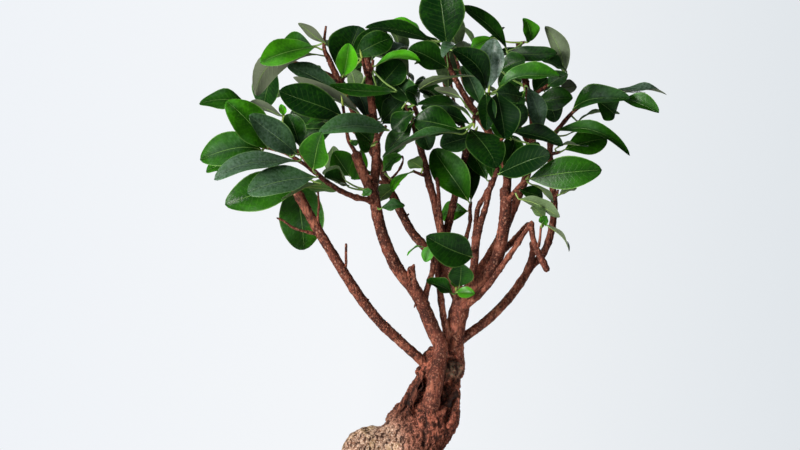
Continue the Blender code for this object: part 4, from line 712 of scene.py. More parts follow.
# Leaves that differ from the common dark ones, by their place in their shoot. Of the two tones, the green
# one runs from 0 to 1 and paints both how young a leaf is and the light or shade that falls on it, and the
# grey one is how much painted sheen the face carries, both darker still below 0; base and tip are (column,
# row); deep, in mm, is how much further back the tip lies; width and wave are mm; facing, fold, roll and
# twist are degrees; arch, sway, bend and curl are shares of the leaf's length or half width; the lower belly
# is, the nearer to its base a leaf is widest.
LOOKS = {
    "back_top_side": {2: dict(tip=(447, 12), width=18)},
    "back_middle_end": {1: dict(base=(411, 86), tip=(436, 102)), 3: dict(base=(403, 60), tip=(391, 27))},
    "back_middle_side": {
        0: dict(tip=(441, 106)), 2: dict(tip=(385, 50)), 3: dict(base=(414, 86), tip=(441, 92)),
    },
    "back_high_end": {0: dict(tip=(387, 25)), 2: dict(base=(397, 62), tip=(413, 88))},
    "back_left_side": {0: dict(tip=(322, 97))},
    "front_low": {0: dict(base=(349, 187)), 1: dict(base=(346, 181))},
    "upper_left_back": {0: dict(youth_and_light=0.0, bloom=-0.4, base=(275, 66), tip=(264, 109), facing=38)},
    "back_top_end": {3: dict(base=(492, 58), tip=(533, 56))},
    "back_fan_end": {2: dict(base=(452, 66), tip=(450, 22), width=12)},
    "upper_left": {
        0: dict(youth_and_light=0.2, bloom=0.9, base=(326, 43), tip=(298, 23), width=10, arch=-0.02, wave=0.2),
        1: dict(youth_and_light=0.62, base=(316, 47), tip=(260, 63), width=20, facing=38, arch=0.08, fold=14),
        2: dict(youth_and_light=0.15, base=(312, 46), tip=(277, 49)),
        3: dict(youth_and_light=0.2, bloom=0.9, base=(324, 56), tip=(255, 95), width=17, facing=198, arch=0.04,
                bend=0.26, fold=12, twist=0, belly=1.6),
    },
    "leader_left": {
        0: dict(youth_and_light=0.9, base=(343, 77), tip=(349, 43), width=14, belly=1.32, facing=8, fold=20),
        1: dict(youth_and_light=0.12),
    },
    "leader_right": {
        0: dict(youth_and_light=0.8, width=13, arch=0.15, fold=26),
        1: dict(youth_and_light=0.3, bloom=1.0, base=(372, 56), tip=(409, 48), width=12, facing=50, arch=0.10),
        2: dict(youth_and_light=0.05),
        3: dict(youth_and_light=0.15, base=(397, 91), tip=(329, 85), width=9, facing=28, arch=0.0, bend=0.05, twist=0),
    },
    "leader_front": {0: dict(youth_and_light=0.1, bloom=0.9, width=13)},
    "leader_mid": {0: dict(youth_and_light=0.05), 1: dict(youth_and_light=0.05, bloom=0.3), 2: dict(youth_and_light=0.1)},
    "upper_mid": {
        0: dict(youth_and_light=0.06, bloom=-0.3, base=(341, 76), tip=(359, 26), width=30, facing=8),
        1: dict(youth_and_light=0.03, bloom=-0.3),
    },
    "far_left": {
        0: dict(youth_and_light=0.22, fold=12), 1: dict(youth_and_light=0.48, width=23, fold=16),
        2: dict(youth_and_light=0.30, arch=0.17, width=24), 3: dict(youth_and_light=0.35),
        4: dict(youth_and_light=0.25, bloom=0.8, wave=0.3),
    },
    "left_end": {0: dict(youth_and_light=0.2, bloom=0.6), 1: dict(youth_and_light=0.15, bloom=0.35)},
    "left_front": {
        0: dict(youth_and_light=0.2, bloom=0.45, width=21),
        1: dict(youth_and_light=0.40, base=(313, 170), tip=(322, 132), width=20, fold=26),
    },
    "left_low": {
        0: dict(youth_and_light=0.28, base=(300, 180), tip=(225, 205), width=25, arch=0.12, fold=18, belly=1.0),
        1: dict(youth_and_light=0.36, base=(296, 175), tip=(304, 250), width=28, belly=1.0, fold=12),
        2: dict(youth_and_light=0.5, bloom=0.3, width=9), 3: dict(youth_and_light=0.6, base=(306, 187), tip=(337, 191)),
    },
    "centre_left": {
        0: dict(youth_and_light=0.30),
        1: dict(youth_and_light=0.42, bloom=0.5, base=(389, 130), tip=(318, 134), width=17, arch=0.09, fold=26),
        2: dict(youth_and_light=0.70),
    },
    "mid_left": {0: dict(youth_and_light=0.0, bloom=-0.2), 1: dict(youth_and_light=0.4)},
    "bow_low": {0: dict(youth_and_light=0.2, bloom=0.4)},
    "bow_side": {0: dict(youth_and_light=0.5), 1: dict(youth_and_light=0.5)},
    "fan_low": {0: dict(youth_and_light=0.7, fold=12, wave=0.2), 1: dict(youth_and_light=0.7, bloom=0.3)},
    "fan_top": {
        0: dict(youth_and_light=0.4, bloom=0.6, base=(402, 108), tip=(477, 77), width=8, facing=116, arch=0.17,
                fold=6, twist=0),
        2: dict(youth_and_light=0.1, deep=12),
    },
    "front_small": {0: dict(youth_and_light=0.08, width=8.5)},
    "top": {
        0: dict(youth_and_light=0.0, bloom=-0.2, base=(447, 47), tip=(438, -18), width=28.5, belly=1.18, fold=13,
                wave=0.4),
        1: dict(youth_and_light=0.3, bloom=0.6, base=(465, 50), tip=(443, 58), width=12, arch=0.20),
        2: dict(youth_and_light=0.04, bloom=-0.3), 3: dict(youth_and_light=0.75, width=12), 4: dict(youth_and_light=0.10),
    },
    "crown": {
        0: dict(youth_and_light=0.1, bloom=1.0, base=(489, 90), tip=(494, 38), width=17, facing=-6, belly=1.25),
        1: dict(youth_and_light=0.0, bloom=-0.3, base=(485, 92), tip=(452, 50), width=18, facing=30, bend=-0.14),
        2: dict(youth_and_light=0.42, base=(497, 90), tip=(561, 77), width=18, facing=48, arch=0.16, fold=36, wave=1.6),
        3: dict(youth_and_light=-0.15, bloom=-0.9, facing=24), 4: dict(youth_and_light=0.0, bloom=-0.3, width=12, facing=4),
    },
    "crown_left": {
        0: dict(youth_and_light=0.12, width=13, arch=0.13, facing=72), 1: dict(youth_and_light=0.1, bloom=-0.2),
        3: dict(youth_and_light=0.2, bloom=0.8), 4: dict(youth_and_light=0.3, bloom=0.3, width=12, arch=0.11, facing=72),
    },
    "shade_arch": {0: dict(youth_and_light=0.15, width=13.5, arch=0.10, tip=(462, 6), fold=24)},
    "shade_top": {
        0: dict(youth_and_light=0.6, base=(529, 42), tip=(523, 18), width=13, belly=0.66, bend=-0.14),
        1: dict(youth_and_light=0.0, bloom=-0.4, base=(506, 52), tip=(557, 53), width=12, facing=25, bend=-0.06),
        2: dict(youth_and_light=1.0, base=(493, 38), tip=(471, 49), width=10, facing=20, arch=0.05),
    },
    "shade_right": {
        0: dict(youth_and_light=0.05, bloom=0.5, base=(564, 75), tip=(545, 26), width=13, belly=1.0, bend=0.05),
        3: dict(youth_and_light=0.2, bloom=0.9),
        4: dict(youth_and_light=0.08, base=(536, 102), tip=(573, 98), width=16.5, facing=14),
    },
    "shade_front": {0: dict(youth_and_light=0.1, bloom=0.5, width=13, twist=36, roll=10)},
    "far_right": {
        0: dict(youth_and_light=0.14, arch=0.14, width=20, belly=0.82, base=(573, 109)),
        1: dict(youth_and_light=0.36, tip=(615, 115)), 2: dict(youth_and_light=0.15, bloom=0.7, arch=0.07, width=11),
        4: dict(youth_and_light=0.35, width=14, fold=34), 5: dict(youth_and_light=0.5, bloom=0.3, width=7),
    },
    "right_low": {
        0: dict(youth_and_light=0.30, bloom=-0.1, base=(553, 132), tip=(630, 156), width=13, arch=0.24, fold=24),
        1: dict(youth_and_light=0.4, bloom=0.3, width=7),
    },
    "right_inner": {
        0: dict(youth_and_light=0.42, bloom=-0.2, base=(564, 150), tip=(607, 138), width=18),
        1: dict(youth_and_light=0.4, bloom=0.4),
    },
    "right_big": {
        0: dict(youth_and_light=0.24, bloom=-0.3, base=(529, 179), tip=(602, 170), width=20, bend=0.02, fold=10,
                wave=0.4),
        1: dict(youth_and_light=0.4, bloom=0.5), 2: dict(youth_and_light=0.1), 3: dict(youth_and_light=0.45, bloom=0.5),
    },
    "right_small": {0: dict(youth_and_light=0.5, bloom=0.4)},
    "hanging": {0: dict(youth_and_light=0.5, bloom=0.3), 1: dict(youth_and_light=0.4), 2: dict(youth_and_light=0.3, bloom=0.6)},
    "fan_leaf": {
        0: dict(youth_and_light=0.42, width=23), 1: dict(youth_and_light=0.12, width=13),
        2: dict(youth_and_light=0.62, base=(468, 211), tip=(441, 215), width=15, facing=20),
    },
    "fan_right_top": {0: dict(youth_and_light=0.0, bloom=-0.4, facing=30)},
    "dark_end": {0: dict(youth_and_light=0.2)},
    "centre": {
        0: dict(youth_and_light=-0.2, bloom=-0.9, base=(498, 174), tip=(551, 155), width=24, facing=42, fold=14),
    },
    "low_crown": {0: dict(youth_and_light=0.0, bloom=-0.3)},
    "screen": {
        0: dict(youth_and_light=0.08, base=(472, 257), tip=(426, 236), width=23, belly=0.9, bend=0.04, wave=0.3),
    },
    "sprout": {
        0: dict(youth_and_light=0.08), 1: dict(youth_and_light=0.6), 2: dict(youth_and_light=0.12, width=12, facing=44),
        3: dict(youth_and_light=0.6, base=(456, 292), tip=(475, 294), width=8),
    },
    "fork_tip": {
        0: dict(youth_and_light=0.75, bloom=0.3, base=(431, 245), tip=(425, 262), width=8, facing=10),
        1: dict(youth_and_light=0.9, width=3, facing=80),
    },
}
# Leaves deep in the crown that only fill it. shoot: leaves as in SHOOTS.
EXTRA = {
    "mid_left": [(339, 124, 290, 113, 8, 16, 17, 0.05), (333, 130, 300, 144, 8, 30, 15, 0.05)],
    "leader_mid": [(381, 122, 404, 98, 10, 20, 15, 0.05)],
    "left_end": [(300, 147, 287, 114, 6, 20, 14, 0.05)],
    "top": [(442, 47, 417, 37, 2, 60, 8, 0.05)],
    "crown_left": [(470, 124, 421, 107, 6, 34, 15, 0.08), (466, 128, 436, 110, 10, 20, 17, 0.06)],
    "fan_top": [
        (413, 122, 387, 155, 8, 20, 14, 0.06), (414, 112, 392, 130, 8, 20, 14, 0.06),
        (416, 118, 430, 150, 8, 14, 14, 0.05),
    ],
    "centre": [(504, 172, 516, 136, 14, 10, 17, 0.05)],
    "low_crown": [(508, 136, 522, 104, 10, 16, 17, 0.06), (512, 140, 490, 112, 12, 20, 16, 0.06)],
    "shade_front": [(525, 90, 508, 118, 8, 20, 15, 0.06), (522, 86, 500, 76, 12, 30, 14, 0.06)],
    "shade_right": [(545, 92, 556, 122, 6, 14, 14, 0.05), (534, 93, 548, 78, 2, 20, 13, 0.05)],
    "far_left": [(284, 116, 281, 104, -3, 10, 5, 0.02)],
}


# Shoots whose tip carries a fresh green sheath, and how long it is in mm.
BUDS = {
    "far_left": 6, "mid_left": 7, "crown": 5, "crown_left": 6, "far_right": 4, "shade_right": 4,
    "leader_left": 6, "fan_right_top": 4, "top": 4, "right_big": 4, "sprout": 3,
}


class FicusSizes(PropertyGroup):
    """Sizes of the plant's finer forms."""

    blade: FloatProperty(
        name="Blade", description="Thickness of a leaf at its midrib", default=0.0005, unit="LENGTH"
    )
    petiole: FloatProperty(
        name="Petiole", description="Radius of a leaf stalk at its foot", default=0.00062, unit="LENGTH"
    )
    bark: FloatProperty(
        name="Bark relief", description="Height of the ridges on the roots", default=0.0016, unit="LENGTH"
    )
    crumb: FloatProperty(
        name="Crumb", description="Radius of a middling crumb of soil", default=0.0012, unit="LENGTH"
    )
    crumbs: IntProperty(
        name="Crumbs", description="Crumbs on each square metre of soil", default=170000, min=0
    )


class FicusColours(PropertyGroup):
    """Colours of the plant and its pot."""

    leaf_old: FloatVectorProperty(
        name="Old leaf", description="Upper face of the darkest leaves", subtype="COLOR", size=3,
        default=(0.003, 0.020, 0.003),
    )
    leaf_young: FloatVectorProperty(
        name="Young leaf", description="Upper face of the palest leaves", subtype="COLOR", size=3,
        default=(0.078, 0.400, 0.006),
    )
    leaf_under: FloatVectorProperty(
        name="Leaf underside", description="Matt lower face of the leaves", subtype="COLOR", size=3,
        default=(0.085, 0.150, 0.050),
    )
    limb: FloatVectorProperty(
        name="Limb bark", description="Reddish bark of the limbs", subtype="COLOR", size=3,
        default=(0.150, 0.040, 0.023),
    )
    root: FloatVectorProperty(
        name="Root bark", description="Pale bark of the swollen roots", subtype="COLOR", size=3,
        default=(0.600, 0.375, 0.262),
    )
    soil: FloatVectorProperty(
        name="Soil", description="Dark potting soil", subtype="COLOR", size=3, default=(0.045, 0.026, 0.016)
    )
    pot: FloatVectorProperty(
        name="Pot", description="Glazed wall of the pot", subtype="COLOR", size=3, default=(0.80, 0.80, 0.78)
    )


def sizes():
    return bpy.context.scene.ficus_sizes


def colour(name):
    return tuple(getattr(bpy.context.scene.ficus_colours, name))


def toned(shade, factor):
    """A colour made darker or lighter."""
    return tuple(c * factor for c in shade)


def opaque(shade):
    """A colour with its alpha; an output stays as it is."""
    return (*shade, 1.0) if isinstance(shade, tuple) and len(shade) == 3 else shade


def wire(tree, kind, links=(), **values):
    """A new node of a tree: links are {input: output socket or value}, values the node's own settings."""
    node = tree.nodes.new(kind)
    for key, value in values.items():
        setattr(node, key, value)
    for key, value in dict(links).items():
        if isinstance(value, bpy.types.NodeSocket):
            tree.links.new(value, node.inputs[key])
        else:
            node.inputs[key].default_value = value
    return node


def math_node(tree, operation, *terms):
    """The result of one sum on up to three terms, each a number or an output."""
    return wire(tree, "ShaderNodeMath", enumerate(terms), operation=operation).outputs[0]


def times(tree, product, *factors):
    for factor in factors:
        product = math_node(tree, "MULTIPLY", product, factor)
    return product


def times_plus(tree, value, factor, term):
    """value * factor + term."""
    return math_node(tree, "MULTIPLY_ADD", value, factor, term)


def less(tree, value, term):
    return math_node(tree, "SUBTRACT", value, term)


def ranged(tree, value, low, high, start=0.0, end=1.0):
    """A value moved from one range to another, held inside it."""
    return wire(tree, "ShaderNodeMapRange", {0: value, 1: low, 2: high, 3: start, 4: end}).outputs[0]


def vector_node(tree, operation, *terms):
    node = wire(tree, "ShaderNodeVectorMath", enumerate(terms), operation=operation)
    return node.outputs["Value" if operation in ("DOT_PRODUCT", "LENGTH") else "Vector"]


def scaled(tree, vector, factor):
    return wire(tree, "ShaderNodeVectorMath", {0: vector, "Scale": factor}, operation="SCALE").outputs[0]


def stretched(tree, vector, x, y, z):
    return vector_node(tree, "MULTIPLY", vector, (x, y, z))


def split(tree, vector):
    """The x, y and z of a vector."""
    return wire(tree, "ShaderNodeSeparateXYZ", {0: vector}).outputs


def attribute(tree, name, kind="FLOAT"):
    """A named attribute inside a geometry tree."""
    return wire(tree, "GeometryNodeInputNamedAttribute", {"Name": name}, data_type=kind).outputs["Attribute"]


def ramp(tree, factor, *stops):
    """A colour ramp from (place, colour) stops."""
    node = wire(tree, "ShaderNodeValToRGB", {0: factor})
    elements = node.color_ramp.elements
    while len(elements) < len(stops):
        elements.new(0.5)
    for element, (place, shade) in zip(elements, stops):
        element.position = place
        element.color = opaque(shade)
    return node.outputs["Color"]


def mixed(tree, factor, a, b):
    """Two colours mixed, each a colour or an output."""
    return wire(tree, "ShaderNodeMix", {0: factor, 6: opaque(a), 7: opaque(b)}, data_type="RGBA").outputs[2]


def noisy(tree, vector, scale, detail, roughness=0.5):
    """The value of a noise texture at a vector."""
    links = {"Vector": vector, "Scale": scale, "Detail": detail, "Roughness": roughness}
    return wire(tree, "ShaderNodeTexNoise", links).outputs[0]


def cells(tree, vector, scale):
    """How far a vector lies from the middle of the nearest cell."""
    return wire(tree, "ShaderNodeTexVoronoi", {"Vector": vector, "Scale": scale}).outputs["Distance"]


def surface(name, roughness, specular=0.5):
    """(material, its tree, where each point lies on the object) ready for colours."""
    made = bpy.data.materials.new(name)
    made.use_nodes = True
    tree = made.node_tree
    shader = tree.nodes["Principled BSDF"]
    shader.inputs["Roughness"].default_value = roughness
    shader.inputs["Specular IOR Level"].default_value = specular
    return made, tree, wire(tree, "ShaderNodeTexCoord").outputs["Object"]


def finished(made, base, height, distance, strength, rough=None):
    """The material with its colour, its relief and, where it varies, its roughness on the shader."""
    tree = made.node_tree
    links = {"Height": height, "Distance": distance, "Strength": strength}
    inputs = {"Base Color": base, "Normal": wire(tree, "ShaderNodeBump", links).outputs[0]}
    if rough is not None:
        inputs["Roughness"] = rough
    for name, output in inputs.items():
        tree.links.new(output, tree.nodes["Principled BSDF"].inputs[name])
    return made


def painted(tree, *names):
    """The named attributes that a material reads."""
    return [wire(tree, "ShaderNodeAttribute", attribute_name=name).outputs["Fac"] for name in names]


def blade_map(tree):
    """How far along its leaf and how far from its midrib a point of the blade lies."""
    u, v, _ = split(tree, wire(tree, "ShaderNodeUVMap", uv_map="UVMap").outputs[0])
    return u, math_node(tree, "ABSOLUTE", times_plus(tree, v, 2.0, -1.0))


def side_veins(tree, u, side, width):
    """Veins that leave the midrib forwards and fade before the margin."""
    comb = math_node(tree, "FRACT", times(tree, times_plus(tree, side, -0.16, u), 12.0))
    near = math_node(tree, "ABSOLUTE", less(tree, comb, 0.5))
    return times(tree, ranged(tree, near, 0.0, width, 1.0, 0.0), ranged(tree, side, 0.5, 0.9, 1.0, 0.0))


def leaf_top():
    """Glossy upper face: pale midrib, faint side veins, painted shade beside the midrib, a margin pale partly
    in its own colour and partly as a painted highlight, and a tone and a painted sheen of each leaf's own.
    """
    made, tree, place = surface("leaf upper face", 0.36, 0.16)
    u, side = blade_map(tree)
    tone, bloom = painted(tree, "tone", "bloom")
    mottle = noisy(tree, place, 620.0, 5.0)
    # The green tone paints both the leaf's age and the light or shade that falls on it, with random clouds
    # and mottle.
    shade = times_plus(tree, noisy(tree, place, 80.0, 4.0), 0.60, less(tree, tone, 0.27))
    shade = times_plus(tree, mottle, 0.46, less(tree, shade, 0.23))
    old, youth_and_light = colour("leaf_old"), colour("leaf_young")
    middle = tuple(a * 0.74 + b * 0.26 for a, b in zip(old, youth_and_light))
    base = ramp(tree, shade, (0.0, old), (0.45, middle), (1.0, youth_and_light))
    lit = mixed(tree, 0.65, base, (0.240, 0.460, 0.100))
    # Painted shade: the blade darkens towards its midrib, as in the shade of its fold.
    base = mixed(tree, ranged(tree, side, 0.04, 0.50, 0.6, 0.0), base, old)
    veins = side_veins(tree, u, side, 0.08)
    base = mixed(tree, times(tree, veins, 0.13), base, lit)
    # The midrib is pale in its own colour; the margin's pale line is partly its own colour and partly a
    # painted highlight on the edge.
    rib = ranged(tree, side, 0.0, times_plus(tree, u, -0.034, 0.050), 1.0, 0.0)
    line = math_node(tree, "MAXIMUM", rib, ranged(tree, side, 0.925, 0.990))
    base = mixed(tree, times(tree, line, ranged(tree, tone, 0.0, 0.25, 0.45, 0.85)), base, lit)
    # Painted sheen: each leaf's own grey sheen and random patches of it, mottled, greying the colour.
    painted_sheen_patches = ranged(tree, noisy(tree, place, 45.0, 6.0), 0.54, 0.72, 0.0, 0.3)
    bloom = math_node(tree, "ADD", bloom, painted_sheen_patches)
    bloom = times(tree, bloom, ranged(tree, mottle, 0.35, 0.65, 0.30, 0.90))
    base = mixed(tree, bloom, base, (0.130, 0.190, 0.155))
    rough = ranged(tree, noisy(tree, place, 60.0, 2.0), 0.3, 0.7, 0.22, 0.42)
    relief = times_plus(tree, veins, -0.10, times(tree, rib, -1.0))
    return finished(made, base, times_plus(tree, mottle, 0.7, relief), 0.0004, 0.6, rough)


def leaf_under():
    """Matt lower face, paler and with its side veins showing, greyed by a painted sheen of each leaf's own.
    """
    made, tree, place = surface("leaf lower face", 0.6, 0.3)
    u, side = blade_map(tree)
    tone, bloom = painted(tree, "tone", "bloom")
    cloud = noisy(tree, place, 110.0, 4.0)
    grain = math_node(tree, "ADD", cloud, noisy(tree, place, 700.0, 5.0))
    under = colour("leaf_under")
    base = mixed(tree, ranged(tree, grain, 0.75, 1.25), toned(under, 0.45), under)
    base = mixed(tree, ranged(tree, tone, 0.3, 1.0, 0.0, 0.9), base, (0.110, 0.330, 0.020))
    # Painted sheen: the face greyed by each leaf's own amount.
    base = mixed(tree, times(tree, bloom, 0.7), base, (0.165, 0.175, 0.125))
    veins = side_veins(tree, u, side, 0.10)
    lit = mixed(tree, 0.5, base, (0.240, 0.340, 0.120))
    base = mixed(tree, times(tree, veins, 0.25), base, lit)
    base = mixed(tree, ranged(tree, side, 0.0, 0.07, 0.7, 0.0), base, lit)
    base = mixed(tree, ranged(tree, side, 0.940, 0.995, 0.0, 0.7), base, lit)
    return finished(made, base, times_plus(tree, cloud, 0.5, veins), 0.00025, 0.5)


def stalk_green():
    """Petioles, midribs and buds."""
    made, tree, place = surface("petiole and bud", 0.45)
    cloud = noisy(tree, place, 200.0, 2.0)
    green = mixed(tree, cloud, (0.10, 0.20, 0.04), (0.20, 0.34, 0.07))
    base = mixed(tree, painted(tree, "tone")[0], green, (0.36, 0.46, 0.08))
    return finished(made, base, cloud, 0.0002, 0.4)


def limb_bark():
    """Thin reddish bark: fibres along the limb, pale lenticels, dark scars, paler where it is weathered."""
    made, tree, place = surface("limb bark", 0.78, 0.25)
    patch = noisy(tree, place, 75.0, 5.0, 0.6)
    fibre = noisy(tree, stretched(tree, place, 1.0, 1.0, 0.3), 650.0, 4.0)
    red = colour("limb")
    light = (red[0] * 2.4, red[1] * 3.1, red[2] * 3.1)
    base = ramp(tree, patch, (0.38, toned(red, 0.26)), (0.53, red), (0.68, light))
    base = mixed(tree, ranged(tree, fibre, 0.40, 0.54, 0.9, 0.0), base, toned(red, 0.30))
    base = mixed(tree, ranged(tree, noisy(tree, place, 900.0, 3.0), 0.55, 0.66, 0.0, 0.80), base, light)
    fleck = ranged(tree, cells(tree, stretched(tree, place, 1.0, 1.0, 0.7), 420.0), 0.12, 0.30, 0.6, 0.0)
    base = mixed(tree, fleck, base, (0.42, 0.21, 0.14))
    scars = ranged(tree, cells(tree, place, 120.0), 0.07, 0.15, 0.85, 0.0)
    base = mixed(tree, scars, base, (0.020, 0.009, 0.006))
    height = times_plus(tree, fleck, 0.25, times_plus(tree, patch, 0.6, fibre))
    return finished(made, base, times_plus(tree, scars, -0.5, height), 0.0007, 0.8)


def root_bark():
    """Rootstock bark: rust red, tan on the left swelling, grey on the cut knot, painted light on its ridges,
    painted shade in its furrows and black painted shade in its hollows.
    """
    made, tree, place = surface("root bark", 0.85, 0.2)
    pale, groove, crest, knot = painted(tree, "pale", "groove", "crest", "knot")
    patch = noisy(tree, place, 60.0, 6.0, 0.62)
    grain = noisy(tree, stretched(tree, place, 1.0, 1.0, 0.5), 520.0, 5.0)
    fine = noisy(tree, place, 1100.0, 3.0)
    # Painted light and shade: the rust runs from near black in the furrows to pale on the ridges.
    rust = ramp(
        tree, crest, (0.0, (0.026, 0.008, 0.005)), (0.42, (0.120, 0.030, 0.017)),
        (0.68, (0.275, 0.076, 0.043)), (1.0, (0.480, 0.165, 0.100)),
    )
    # The tan bark is painted darker in its furrows too.
    tan = mixed(tree, ranged(tree, crest, 0.15, 0.60), (0.200, 0.085, 0.048), colour("root"))
    tan = mixed(tree, ranged(tree, patch, 0.50, 0.66, 0.0, 0.40), tan, (0.360, 0.300, 0.090))
    base = mixed(tree, pale, rust, tan)
    stain = mixed(tree, pale, (0.060, 0.018, 0.010), (0.250, 0.130, 0.080))
    base = mixed(tree, ranged(tree, patch, 0.42, 0.56, 0.60, 0.0), base, stain)
    cut = ramp(tree, grain, (0.35, (0.060, 0.042, 0.028)), (0.65, (0.270, 0.205, 0.135)))
    base = mixed(tree, knot, base, cut)
    worn = mixed(tree, pale, (0.48, 0.16, 0.10), (0.82, 0.62, 0.48))
    base = mixed(tree, ranged(tree, fine, 0.51, 0.62, 0.0, 0.75), base, worn)
    base = mixed(tree, ranged(tree, grain, 0.40, 0.52, 0.95, 0.0), base, (0.030, 0.011, 0.007))
    # Painted shade: near black in the hollows and the deepest furrows.
    base = mixed(tree, groove, base, (0.010, 0.005, 0.004))
    height = times_plus(tree, fine, 0.4, times_plus(tree, patch, 0.8, grain))
    return finished(made, base, height, 0.0014, 1.0)


def soil_crumb():
    """Dark soil with paler clods and bits of fibre."""
    made, tree, place = surface("potting soil", 0.95, 0.2)
    patch = noisy(tree, place, 260.0, 4.0)
    fibre = noisy(tree, stretched(tree, place, 1.0, 0.3, 1.0), 900.0, 3.0)
    dark = colour("soil")
    base = ramp(tree, patch, (0.35, dark), (0.75, toned(dark, 2.8)))
    base = mixed(tree, ranged(tree, fibre, 0.62, 0.70, 0.0, 0.7), base, (0.20, 0.12, 0.07))
    return finished(made, base, math_node(tree, "ADD", patch, fibre), 0.0008, 0.9)


def pot_glaze():
    """White glaze, cloudy in tone and gloss, with the faintest ripple of throwing."""
    made, tree, place = surface("pot glaze", 0.22, 0.5)
    cloud = noisy(tree, place, 22.0, 5.0)
    white = colour("pot")
    warm = (white[0] * 0.93, white[1] * 0.91, white[2] * 0.87)
    ripple = noisy(tree, stretched(tree, place, 0.25, 0.25, 1.0), 90.0, 2.0)
    rough = ranged(tree, cloud, 0.3, 0.7, 0.16, 0.30)
    return finished(made, mixed(tree, cloud, warm, white), ripple, 0.0004, 0.35, rough)


def mesh_object(name, points, faces=(), edges=()):
    mesh = bpy.data.meshes.new(name)
    mesh.from_pydata([tuple(p) for p in points], [tuple(e) for e in edges], [tuple(f) for f in faces])
    obj = bpy.data.objects.new(name, mesh)
    bpy.context.scene.collection.objects.link(obj)
    return obj


def made_plain(obj):
    """Puts what the modifiers make in the object's own mesh."""
    bpy.context.view_layer.update()
    graph = bpy.context.evaluated_depsgraph_get()
    shown = obj.evaluated_get(graph)
    mesh = bpy.data.meshes.new_from_object(shown, preserve_all_data_layers=True, depsgraph=graph)
    obj.modifiers.clear()
    obj.data = mesh
    mesh.name = obj.name
    return obj


def placed(obj, slot, *nodes):
    """Puts the finished piece on the part's one body in place of its solids; the slot is not used."""
    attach(obj, "root")
    if nodes:
        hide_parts(*nodes)


def new_tree(name, *inputs):
    """A geometry tree with its named inputs: (tree, group input, group output)."""
    tree = bpy.data.node_groups.new(name, "GeometryNodeTree")
    tree.interface.new_socket("Geometry", in_out="INPUT", socket_type="NodeSocketGeometry")
    tree.interface.new_socket("Geometry", in_out="OUTPUT", socket_type="NodeSocketGeometry")
    for label, kind, value in inputs:
        socket = tree.interface.new_socket(label, in_out="INPUT", socket_type=kind)
        socket.default_value = value
    return tree, tree.nodes.new("NodeGroupInput"), tree.nodes.new("NodeGroupOutput")


def grown(obj, tree, values):
    """The object with a geometry tree run on it and made plain; values set the tree's inputs by name."""
    modifier = obj.modifiers.new(tree.name, "NODES")
    modifier.node_group = tree
    for item in tree.interface.items_tree:
        if item.in_out == "INPUT" and item.name in values:
            modifier[item.identifier] = values[item.name]
    return made_plain(obj)


def step(tree, kind, geometry, links=(), **values):
    """The geometry after one more geometry node."""
    return wire(tree, "GeometryNode" + kind, {0: geometry, **dict(links)}, **values).outputs[0]


def position(tree):
    return wire(tree, "GeometryNodeInputPosition").outputs[0]


def joined(tree, *parts):
    node = wire(tree, "GeometryNodeJoinGeometry")
    for part in parts:
        tree.links.new(part, node.inputs[0])
    return node.outputs[0]


def curves(tree, geometry, spacing, chosen=True):
    """Smooth curves through a mesh's lines, with a point at every spacing."""
    lines = step(tree, "MeshToCurve", geometry, {"Selection": chosen})
    lines = step(tree, "CurveSplineType", lines, spline_type="CATMULL_ROM")
    return step(tree, "ResampleCurve", lines, {"Length": spacing}, mode="LENGTH")


def tubes(tree, lines, sides, radius):
    """Closed tubes round curves."""
    ring = wire(tree, "GeometryNodeCurvePrimitiveCircle", {"Resolution": sides, "Radius": 1.0}).outputs[0]
    return step(tree, "CurveToMesh", lines, {"Profile Curve": ring, "Scale": radius, "Fill Caps": True})


def ended(tree, result, geometry, material, chosen=True):
    """Ends a tree: Realize Instances, then Set Material."""
    last = step(tree, "RealizeInstances", geometry)
    last = step(tree, "SetMaterial", last, {"Selection": chosen, "Material": material})
    tree.links.new(last, result.inputs[0])


def kept(tree, geometry, name, value, kind="FLOAT", domain="POINT"):
    """The geometry with a named attribute stored on it."""
    links = {"Name": name, "Value": value}
    return step(tree, "StoreNamedAttribute", geometry, links, data_type=kind, domain=domain)


def compared(tree, a, b, operation="GREATER_THAN"):
    return wire(tree, "FunctionNodeCompare", {0: a, 1: b}, data_type="FLOAT", operation=operation).outputs[0]


